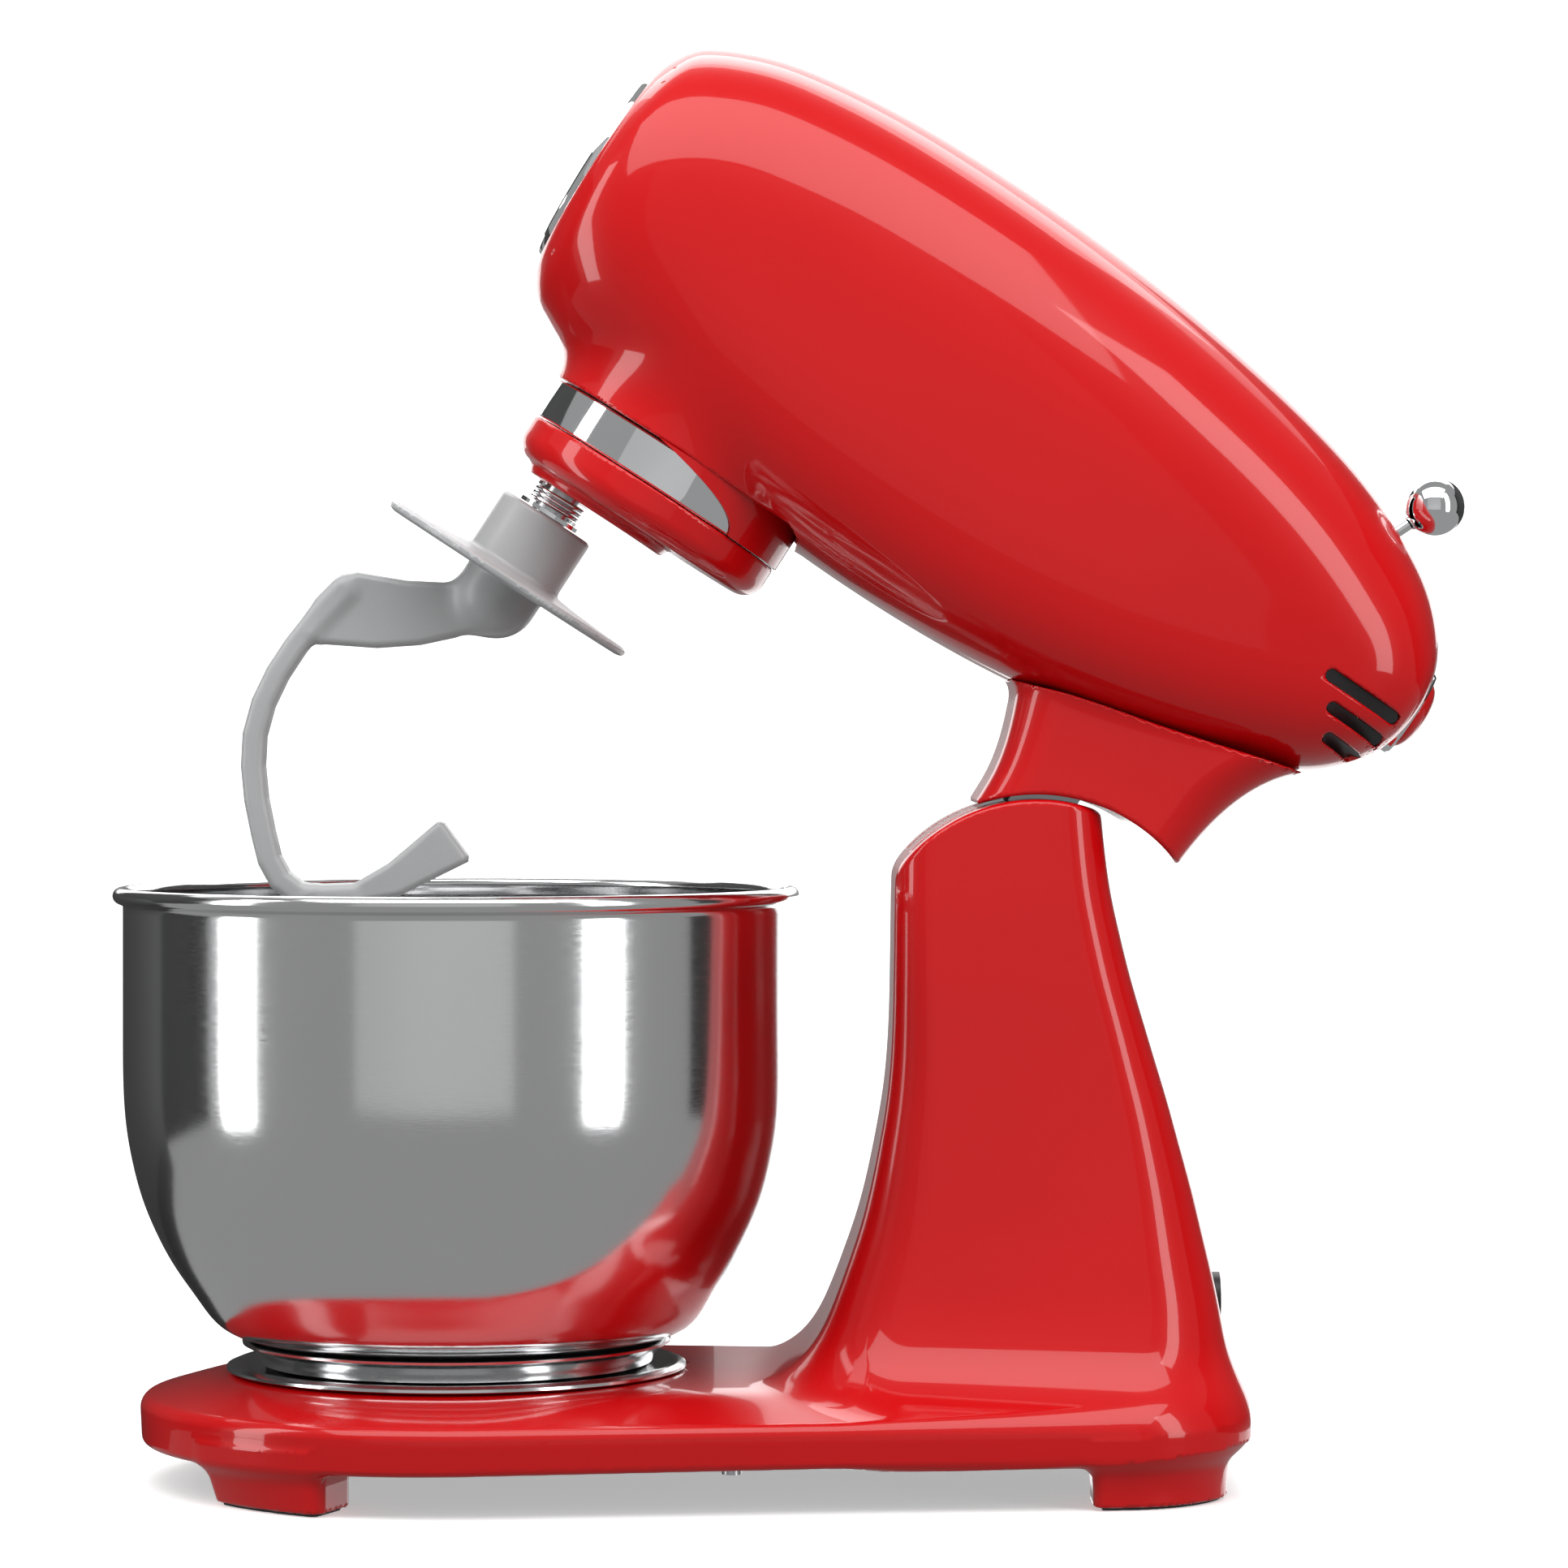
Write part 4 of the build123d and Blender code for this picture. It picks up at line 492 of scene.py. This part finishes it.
# ------------------------------------------------------------------ stand
COLUMN = np.array([
    (26.0, 0.0, 145.4, 76.0, 36.0),
    (36.0, 2.0, 144.6, 72.0, 34.0),
    (46.0, 6.0, 142.9, 67.0, 31.0),
    (53.1, 9.0, 141.4, 64.4, 29.0),
    (60.0, 12.0, 140.1, 62.0, 27.0),
    (73.6, 17.2, 137.3, 58.6, 25.0),
    (87.2, 21.8, 134.1, 55.8, 23.0),
    (100.8, 25.3, 130.8, 53.6, 21.0),
    (114.5, 28.1, 127.0, 51.8, 19.0),
    (128.1, 30.4, 123.2, 50.3, 17.5),
    (141.7, 31.8, 119.1, 49.0, 16.5),
    (155.3, 32.5, 115.0, 48.0, 15.5),
    (169.0, 32.8, 111.0, 47.2, 15.0),
    (182.6, 33.0, 107.6, 46.4, 14.5),
    (196.2, 33.2, 104.6, 45.8, 14.0),
    (209.8, 33.6, 102.6, 45.2, 13.5),
    (232.0, 34.2, 100.6, 44.6, 13.0),
])
_cf, _cr, _ch, _cc = [spline(COLUMN[:, 0], COLUMN[:, k]) for k in range(1, 5)]


def plan(x, y):
    """Signed distance to the base's plan outline."""
    ay = np.abs(y)
    line = (x - BOWL_X) * 0.1132 + ay * 0.9936 - 105.5
    round_front = np.hypot(x - BOWL_X, y) - 105.5
    d = np.where((x - BOWL_X) * 0.9936 - ay * 0.1132 < 0, round_front, line)
    return rmax(d, x - 145.6, 38.0)


def leg_plan(x, y, z, sd):
    """Outline of the four legs, the front pair spread round the bowl's end and the rear pair along the sides."""
    reach = np.degrees(np.arctan2(np.abs(y), -(x - BOWL_X)))
    front = np.abs(reach - 54.0) * 95.0 * math.pi / 180 - 24.0
    edge = sd + 2.0 + np.maximum(0, 14 - z) * 0.42 * np.clip(-(x + 150) / 40, 0, 1)
    front = rmax(rmax(edge, -(sd + 27.0), 5.0), front, 5.0)
    rear = rmax(rmax(sd + 1.8, -(sd + 27.0), 5.0), np.abs(x - 119.4) - 23.4, 4.0)
    rear = rmax(rear, 44.0 - np.abs(y), 4.0)
    return np.minimum(front, rear)


def stand_field(x, y, z):
    sd = plan(x, y)
    # deck falls gently to a crisp shoulder, the side wall stands straight below it
    over = sd + 27.0
    fall = 0.30 * 0.5 * (over + np.sqrt(over * over + 60.0))
    deck = (z - (37.2 - fall)) * 0.955
    base = rmax(sd + np.maximum(0, 24 - z) * 0.05, deck, 3.2)
    base = rmax(base, 14.6 - z + 1.4 * np.clip((x + 60) / 200, -0.6, 1), 2.2)
    legs = np.maximum(rmax(leg_plan(x, y, z, sd), 1.0 - z, 0.8), z - 19.0)
    base = smin(base, legs, 5.0)
    zc = np.clip(z, 26.0, 232.0)
    cf, cr, ch, cc = _cf(zc), _cr(zc), _ch(zc), _cc(zc)
    col = rounded_rect(x - (cf + cr) / 2, y, (cr - cf) / 2, ch, cc)
    rho = np.where(z > PZ, np.hypot(x - PX, z - PZ), np.abs(x - PX)) - 57.5 - 4.0 * np.maximum(0, PZ - z)
    col_out = rmax(col, rho, 2.4)
    col_out = np.maximum(col_out, 24.0 - z)
    f = smin(base, col_out, 20.0)
    f = rmax(f, rho, 2.4)
    inner = np.maximum(np.maximum(col + 3.6, rho + 3.6), 34.0 - z)
    f = smax(f, -inner, 0.6)
    cover = np.maximum(sd + 4.8, z - 17.3)
    cover = np.maximum(cover, -(legs - 0.3))
    f = smax(f, -cover, 0.8)
    # slots for the hinge arms
    ang = np.degrees(np.arctan2(x - PX, z - PZ))
    r = np.hypot(x - PX, z - PZ)
    for side in (-1, 1):
        s = np.maximum(np.abs(y - 24.0 * side) - 3.8, np.maximum((np.abs(ang + 14.4) - 31.4) * 0.9, 15.0 - r))
        f = rmax(f, -s, 0.7)
    # cable gland seat
    g = np.maximum(np.hypot(y, z - 60.0) - 9.8, 138.8 - x)
    f = rmax(f, -g, 0.7)
    # shallow seat under the steel plate
    f = np.maximum(f, -np.maximum(np.hypot(x - BOWL_X, y) - 77.6, 36.5 - z))
    return f


points, quads, normals = surface(stand_field, (-220, -107, 0), (147, 107, 231), FINE * 1.08)
piece("stand_painted", points, quads, "stand", RED, normals, "stand_casting")


def pad_field(x, y, z):
    f = leg_plan(x, y, z * 0 + 2.0, plan(x, y)) + 2.6
    return rmax(rmax(f, -z, 0.4), z - 2.0, 0.3)


points, quads, normals = surface(pad_field, (-212, -104, -0.2), (146, 104, 2.2), 1.0)
piece("foot_pads_moulded", points, quads, "stand", RUBBER, normals, "rubber_feet")

# ------------------------------------------------------------------ bowl and seat
AXIS_Z = (0, 0, 1)
BC = (BOWL_X, 0, 0)
wall = [(66.0, 46.6), (79.6, 52.6), (86.8, 61.4), (94.4, 72.4), (100.4, 83.6), (105.0, 95.0), (108.2, 107.0), (110.2, 118.5), (111.2, 132.0), (111.4, 150.0), (111.4, 170.0), (111.4, 192.0)]
t = [0]
for a, b in zip(wall, wall[1:]):
    t.append(t[-1] + math.hypot(b[0] - a[0], b[1] - a[1]))
_wr, _wz = spline(t, [p[0] for p in wall]), spline(t, [p[1] for p in wall])
ts = np.linspace(0, t[-1], 90)
outer = [(float(_wr(s)), float(_wz(s))) for s in ts]
inner = []
for i, (r, z) in enumerate(outer):
    a, b = outer[max(0, i - 1)], outer[min(len(outer) - 1, i + 1)]
    dr, dz = b[0] - a[0], b[1] - a[1]
    l = math.hypot(dr, dz)
    inner.append((r - dz / l, z + dr / l))
profile = [(0.0, 46.6), (30.0, 46.6), (58.0, 46.6)] + outer + [(111.6, 192.4)] + arc(112.1, 195.6, 2.75, -70, 175, 14) + [(109.6, 194.4), (110.4, 192.6)] + inner[::-1] + [(58.0, 47.6), (30.0, 47.6), (0.0, 47.6)]
lathe("bowl_turned", profile, BC, AXIS_Z, "bowl", BOWL, "bowl", turns=192)
foot = [(62.0, 38.8), (64.0, 38.7), (65.6, 39.6), (66.2, 41.4), (67.6, 43.6), (70.0, 45.2), (71.6, 46.0), (71.8, 46.8), (70.0, 47.4), (64.0, 46.2), (62.0, 44.0), (62.0, 38.8)]
lathe("bowl_foot_turned", foot, BC, AXIS_Z, "bowl", BOWL, "bowl_foot", turns=192)
seat = [(0.0, 36.8), (52.0, 36.8), (70.0, 36.8), (75.8, 37.0), (77.0, 37.7), (76.8, 38.6), (74.6, 39.5), (71.6, 39.4), (69.8, 38.5), (68.0, 38.3), (0.0, 38.3)]
lathe("bowl_seat_turned", seat, BC, AXIS_Z, "stand", BOWL, "bowl_seat_plate", turns=192)

# ------------------------------------------------------------------ hub
UPH = head_dir(0, 0, 1)


def head_mm(u, y, v):
    return Vector((PX + u * CT + v * ST, y, PZ - u * ST + v * CT))


HC = head_mm(PLANET_U, 0, 0)
ring = [(43.8, 64.95), (46.9, 64.95), (47.5, 65.5), (47.6, 71.0), (47.5, 78.3), (46.9, 78.9), (43.8, 78.9), (43.8, 64.95)]
lathe("hub_ring_chromed", ring, HC, UPH, "head", CHROME, "hub_ring", turns=192)
dish = [(0.0, 51.4), (38.0, 51.0)] + arc(40.4, 58.0, 7.1, -84, 0, 10) + [(47.5, 63.9), (47.0, 64.6), (44.6, 64.6), (44.4, 57.6), (41.8, 54.6), (12.0, 54.5), (12.0, 64.9), (8.2, 64.9), (8.2, 54.6), (0.0, 54.6)]


# rear shroud of the collar, over the ring
def shroud(name):
    pts, faces = [], []
    n, m = 72, 10
    for layer, r in enumerate((48.3, 47.75)):
        for j in range(m + 1):
            w = j / m
            v = 64.9 + (79.6 - 64.9) * w
            # the front edge sweeps forward towards the top
            half = 88 + 0 * w
            lead = 52.0 + 46.0 * w ** 2.2
            for i in range(n + 1):
                a = math.radians(-lead + 2 * lead * i / n)
                pts.append((PLANET_U + r * math.cos(a), r * math.sin(a), v))
    size = (m + 1) * (n + 1)
    for layer in (0, 1):
        for j in range(m):
            for i in range(n):
                a = layer * size + j * (n + 1) + i
                q = (a, a + 1, a + n + 2, a + n + 1)
                faces.append(q if layer == 0 else q[::-1])
    for i in range(n):
        faces.append((i + 1, i, size + i, size + i + 1))
        a = m * (n + 1) + i
        faces.append((a, a + 1, size + a + 1, size + a))
    for j in range(m):
        a = j * (n + 1)
        faces.append((a, a + n + 1, size + a + n + 1, size + a))
        b = a + n
        faces.append((b + n + 1, b, size + b, size + b + n + 1))
    return piece(name, pts, faces, "head", RED, head=True, auto=35)


shroud("collar_shroud_painted")


def carrier_field(u, y, v):
    rho = np.hypot(u - PLANET_U, y)
    outer = rmax(rho - 47.5, 51.0 - v, 7.5)
    outer = rmax(outer, v - 64.6, 0.8)
    lip = rmax(np.hypot(u + 205.5, y) - 26.8 + (51 - v) * 0.1, 47.7 - v, 1.6)
    f = smin(outer, np.maximum(lip, v - 60.0), 2.4)
    pocket = rmax(rho - 44.2, 54.6 - v, 3.0)
    f = smax(f, -pocket, 0.8)
    boss = np.maximum(np.hypot(u - TOOL_U, y) - 14.0, np.maximum(v - 64.6, 52 - v))
    f = np.minimum(f, boss)
    hub = np.maximum(rho - 12.0, np.maximum(v - 65.0, 53 - v))
    f = np.minimum(f, hub)
    f = rmax(f, -np.maximum(np.hypot(u - TOOL_U, y) - 9.3, v - 90), 0.8)
    return np.maximum(f, -np.maximum(rho - 8.1, 54.6 - v))


points, quads, normals = surface(carrier_field, (-241, -48.5, 47), (-144, 48.5, 66), 0.9)
piece("planet_carrier_painted", points, quads, "carrier", RED, normals, "planet_carrier", head=True)

# ------------------------------------------------------------------ tool shaft spring: round wire on a helix
TC = head_mm(TOOL_U, 0, 0)


def coil(name, radius, wire, v0, v1, turns, body, node):
    e1 = head_dir(1, 0, 0)
    e2 = Vector((0, 1, 0))
    pts, faces = [], []
    n, m = int(turns * 40), 10
    for i in range(n + 1):
        a = 2 * math.pi * turns * i / n
        h = v0 + wire + (v1 - v0 - 2 * wire) * i / n
        radial = e1 * math.cos(a) + e2 * math.sin(a)
        c = TC + radial * radius + UPH * h
        for k in range(m):
            b = 2 * math.pi * k / m
            pts.append(tuple(c + radial * (wire * math.cos(b)) + UPH * (wire * math.sin(b))))
    for i in range(n):
        for k in range(m):
            k2 = (k + 1) % m
            faces.append((i * m + k, i * m + k2, (i + 1) * m + k2, (i + 1) * m + k))
    faces.append(tuple(range(m))[::-1])
    faces.append(tuple(n * m + k for k in range(m)))
    return piece(name, pts, faces, body, CHROME, node=node, auto=60)


coil("shaft_spring_wire", 8.6, 0.7, 40.1, 47.6, 3.6, "tool", "shaft_spring")

# ------------------------------------------------------------------ dough hook
DISC = [(16.0, 16.9), (24.0, 16.0), (36.0, 15.2), (44.8, 14.9), (46.4, 14.0), (46.0, 12.8), (44.4, 12.2), (36.0, 12.4), (24.0, 12.7), (15.0, 12.8)]
HOOK_ARM = [(-9.0, 5.6), (-28.0, -5.4), (-43.4, -12.0), (-46.6, -15.5), (-49.2, -27.0), (-46.0, -38.0), (-41.0, -39.2), (-24.3, -30.0), (-12.6, -21.2), (-4.0, -12.6), (4.0, -2.0)]
BAR = [(-44.0, -20.0), (-46.2, -32.0), (-47.3, -44.0), (-47.4, -55.0), (-46.0, -66.0), (-42.6, -76.6), (-37.4, -85.6), (-30.4, -94.4), (-22.4, -102.6), (-15.6, -109.0), (-9.0, -112.6), (-2.0, -113.2), (6.0, -110.6), (14.0, -105.4)]
BLADE = [(9.6, -111.8), (27.6, -95.4), (40.6, -73.4), (39.4, -71.6), (26.4, -66.6), (24.8, -67.4), (18.6, -88.0), (12.4, -100.4), (2.0, -108.0), (0.0, -112.6)]


def hook_field(u, y, v):
    a = u - TOOL_U
    rho = np.hypot(a, y)
    hub = rmax(rmax(rho - 17.0, v - 38.2, 1.6), 14.0 - v, 1.0)
    disc = polygon(rho, v, [(0.0, 17.0)] + DISC + [(0.0, 12.8)])
    ball = np.sqrt(a * a + y * y + (v - 6.6) ** 2) - 14.2
    ball = np.minimum(ball, np.maximum(rho - 14.2, np.maximum(v - 14.0, 6.6 - v)))
    f = smin(hub, disc - 0.25, 1.6)
    f = smin(f, ball, 1.6)
    arm = rmax(polygon(a, v, HOOK_ARM), np.abs(y) - 5.4, 2.4)
    bar = np.full(a.shape, 1e9)
    for (ax, ay), (bx, by) in zip(BAR, BAR[1:]):
        d, t = segment(a, v, ax, ay, bx, by)
        bar = np.minimum(bar, d)
    bar = rmax(bar - 3.9, np.abs(y) - 6.4, 2.6)
    blade = rmax(polygon(a, v, BLADE), np.abs(y) - 6.2, 2.2)
    work = smin(arm, bar, 4.0)
    work = smin(work, blade, 3.0)
    f = smin(f, work, 5.0)
    bore = np.maximum(rho - 6.9, 15.8 - v)
    bore = np.minimum(bore, np.maximum(np.maximum(np.abs(a) - 2.5, np.abs(y) - 10.2), 20.0 - v))
    return smax(f, -bore, 0.6)


step = 0.95
points, quads, normals = surface(hook_field, (TOOL_U - 53, -48, -120), (TOOL_U + 48, 48, 39), step)
piece("dough_hook_cast", points, quads, "hook", HOOK, normals, "dough_hook", head=True)

# ------------------------------------------------------------------ front cap, button, ring, lever
FWD = head_dir(-1, 0, 0)
CAPC = head_mm(0, 0, 147.0)
cap = [(0.0, 256.0), (12.0, 256.0), (12.2, 260.0), (12.4, 262.4), (35.6, 262.4), (36.3, 263.4), (36.4, 268.0), (36.0, 269.0), (35.2, 269.5), (34.4, 269.4), (33.8, 268.9), (33.2, 269.0), (32.4, 269.6), (28.0, 270.5), (20.0, 271.5), (12.0, 272.2), (5.0, 272.5), (0.0, 272.6)]
lathe("front_cap_chromed", cap, CAPC, FWD, "cap", CHROME, "front_cap", turns=160)
BACK = head_dir(1, 0, 0)
BUTC = head_mm(0, 0, 140.6)
rim = [(13.2, 46.2), (15.4, 46.2), (15.6, 58.0), (15.9, 58.4), (15.9, 60.2), (15.3, 61.0), (14.4, 61.2), (13.4, 60.6), (13.0, 59.6), (13.0, 47.0), (13.2, 46.2)]
lathe("button_ring_chromed", rim, BUTC, BACK, "head", CHROME, "button_ring", turns=128)
button = [(0.0, 55.0), (12.0, 55.0), (12.6, 55.6), (12.6, 60.4)] + [(12.6 * math.cos(math.radians(a)), 60.6 + 5.2 * math.sin(math.radians(a))) for a in range(6, 90, 7)] + [(0.0, 65.8)]
lathe("release_button_painted", button, BUTC, BACK, "button", RED, "release_button", turns=128)
LA = math.radians(66.7)
LDIR = head_dir(math.cos(LA), 0, math.sin(LA))
LC = head_mm(0, 0, 134.5)
knob = [(10.0 * math.sin(math.radians(a)), 75.0 - 10.0 * math.cos(math.radians(a))) for a in range(14, 181, 4)]
knob = [(0.0, knob[0][1])] + knob[:-1] + [(0.0, 85.0)]
lathe("lever_knob_chromed", knob, LC, LDIR, "lever", CHROME, "lever_knob", turns=96)
stem = [(0.0, 5.0), (1.9, 5.0), (1.9, 64.3), (2.2, 64.5), (2.7, 64.9), (2.8, 65.6), (2.5, 66.4), (0.0, 66.4)]
lathe("lever_stem_collar", stem, LC, LDIR, "lever", CHROME, turns=48)

# plate round the lever's slot, laid on the casing
pts, faces = [], []
N = 96
rings = ((14.9, 3.0, -1.2), (14.9, 3.0, 0.35), (17.0, 5.1, 0.35), (17.4, 5.5, -0.2), (17.4, 5.5, -1.2))
for half_l, half_w, lift in rings:
    for k in range(N):
        a = 2 * math.pi * k / N
        cx = (half_l - half_w) * (1 if math.cos(a) >= 0 else -1)
        u = 13.8 + cx + half_w * math.cos(a)
        y = half_w * math.sin(a)
        base_v = float(_top(u)) - 0.5 * abs(y / 55.0) ** 2 * 60
        pts.append((u, y, base_v + lift))
for i in range(len(rings)):
    j = (i + 1) % len(rings)
    for k in range(N):
        k2 = (k + 1) % N
        faces.append((i * N + k, i * N + k2, j * N + k2, j * N + k))
piece("speed_slot_trim", pts, faces, "head", CHROME, node="speed_slot_plate", head=True, auto=40)

# black louvre inserts seated in the vent slots
for side, label in ((-1, "right"), (1, "left")):
    pts, faces = [], []
    for u0, u1, v0, v1 in VENTS:
        start = len(pts)
        la, lb = (u1 - u0) / 2 - 0.1, (v1 - v0) / 2 - 0.1
        cu, cv = (u0 + u1) / 2, (v0 + v1) / 2
        for depth in (0.9, 3.4):
            for k in range(64):
                a = 2 * math.pi * k / 64
                cx = (la - lb) * (1 if math.cos(a) >= 0 else -1)
                u, v = cu + cx + lb * math.cos(a), cv + lb * math.sin(a)
                top, bot, half = float(_top(u)), float(_bot(u)), float(_half(u))
                n = float(_nt(u)) if v > (top + bot) / 2 else float(_nb(u))
                y = half * max(0.0, 1 - abs((v - (top + bot) / 2) / ((top - bot) / 2)) ** n) ** (1 / n)
                pts.append((u, side * (y - depth), v))
        for k in range(64):
            k2 = (k + 1) % 64
            faces.append((start + k, start + k2, start + 64 + k2, start + 64 + k))
        faces.append(tuple(start + k for k in range(64)))
        faces.append(tuple(start + 64 + k for k in range(64))[::-1])
    piece("vent_insert_" + label, pts, faces, "head", BLACK, node="vent_grille_" + label, head=True, auto=35)

# ------------------------------------------------------------------ studio
def stage_plane(name, size, location, rotation, colour, emit=0.0, rough=0.6, camera=True):
    bpy.ops.mesh.primitive_plane_add(size=1, location=location, rotation=rotation)
    o = bpy.context.object
    o.name = name
    o.scale = (size[0], size[1], 1)
    m = bpy.data.materials.new(name)
    m.use_nodes = True
    b = m.node_tree.nodes["Principled BSDF"]
    b.inputs["Base Color"].default_value = (*colour, 1)
    b.inputs["Roughness"].default_value = rough
    if emit:
        b.inputs["Emission Color"].default_value = (*colour, 1)
        b.inputs["Emission Strength"].default_value = emit
    o.data.materials.append(m)
    o.visible_camera = camera
    return o


floor = stage_plane("floor", (2.0, 2.0), (0, 0, 0), (0, 0, 0), (0.93, 0.93, 0.93), emit=0.45, rough=0.75)
floor.visible_glossy = False
floor.visible_diffuse = False
# white dome all round, seen only by the camera
bpy.ops.mesh.primitive_uv_sphere_add(segments=48, ring_count=24, radius=4.6, location=(0, 0, 0))
dome = bpy.context.object
dome.name = "backdrop"
white = bpy.data.materials.new("backdrop")
white.use_nodes = True
shade = white.node_tree.nodes["Principled BSDF"]
shade.inputs["Base Color"].default_value = (0, 0, 0, 1)
shade.inputs["Emission Color"].default_value = (1, 1, 1, 1)
shade.inputs["Emission Strength"].default_value = 1.3
dome.data.materials.append(white)
dome.visible_diffuse = False
dome.visible_glossy = False
dome.visible_shadow = False
# bright sheet behind, seen only in the edges of the paint
for sheet_name, size, at in (("rear_sheet_high", (6.0, 2.6), (0, 1.6, 1.62)), ("rear_sheet_low", (2.4, 0.6), (1.22, 1.6, -0.16))):
    sheet = stage_plane(sheet_name, size, at, (math.radians(90), 0, 0), (1.0, 1.0, 1.0), emit=1.0, camera=False)
    sheet.visible_diffuse = False
    sheet.visible_shadow = False
world = bpy.data.worlds.new("studio")
bpy.context.scene.world = world
world.use_nodes = True
world.node_tree.nodes["Background"].inputs[0].default_value = (1, 1, 1, 1)
world.node_tree.nodes["Background"].inputs[1].default_value = 0.32
# pale card in front, and dark cards beside and behind the bowl, for the steel
card = stage_plane("front_card", (2.6, 2.4), (-0.35, -2.6, 0.9), (math.radians(90), 0, 0), (0.5, 0.5, 0.5), emit=0.55, camera=False)
for card_name, size, at, turn in (
    ("card_left", (2.0, 1.6), (-1.5, 0.7, 0.6), 50),
    ("card_right", (2.0, 1.6), (1.5, 0.7, 0.6), -50),
    ("card_bowl", (0.74, 0.30), (-0.40, 0.24, 0.08), 0),
):
    dark = stage_plane(card_name, size, at, (math.radians(90), 0, math.radians(turn)), (0.03, 0.03, 0.03), camera=False)
    dark.visible_diffuse = False
    dark.visible_shadow = False


def area(name, size, location, target, power):
    light = bpy.data.lights.new(name, "AREA")
    light.shape = "RECTANGLE"
    light.size, light.size_y = size
    light.energy = power
    o = bpy.data.objects.new(name, light)
    o.location = location
    o.rotation_euler = (Vector(target) - Vector(location)).to_track_quat("-Z", "Y").to_euler()
    bpy.context.scene.collection.objects.link(o)
    return o


area("key_top", (2.4, 1.3), (-0.1, -0.85, 1.7), (0, 0, 0.2), 30)
area("rear_top", (1.8, 0.6), (0.1, 0.85, 1.5), (0, 0, 0.2), 9)
area("strip_left", (0.42, 1.7), (-1.62, -0.42, 0.62), (-0.1, 0, 0.2), 11)
area("strip_right", (0.40, 1.7), (1.15, -0.95, 0.62), (-0.05, 0, 0.2), 10)

camera = bpy.data.cameras.new("camera")
cam = bpy.data.objects.new("camera", camera)
bpy.context.scene.collection.objects.link(cam)
DIST = 1.80
cam.location = (-0.0033, -DIST, 0.253)
cam.rotation_euler = (math.radians(90), 0, 0)
camera.sensor_fit = "HORIZONTAL"
camera.angle = 2 * math.atan(0.5 * 0.5265 / DIST)
camera.shift_y = (0.2327 - 0.253) / 0.5265
camera.clip_end = 60
bpy.context.scene.camera = cam
bpy.context.scene.view_settings.view_transform = "Standard"
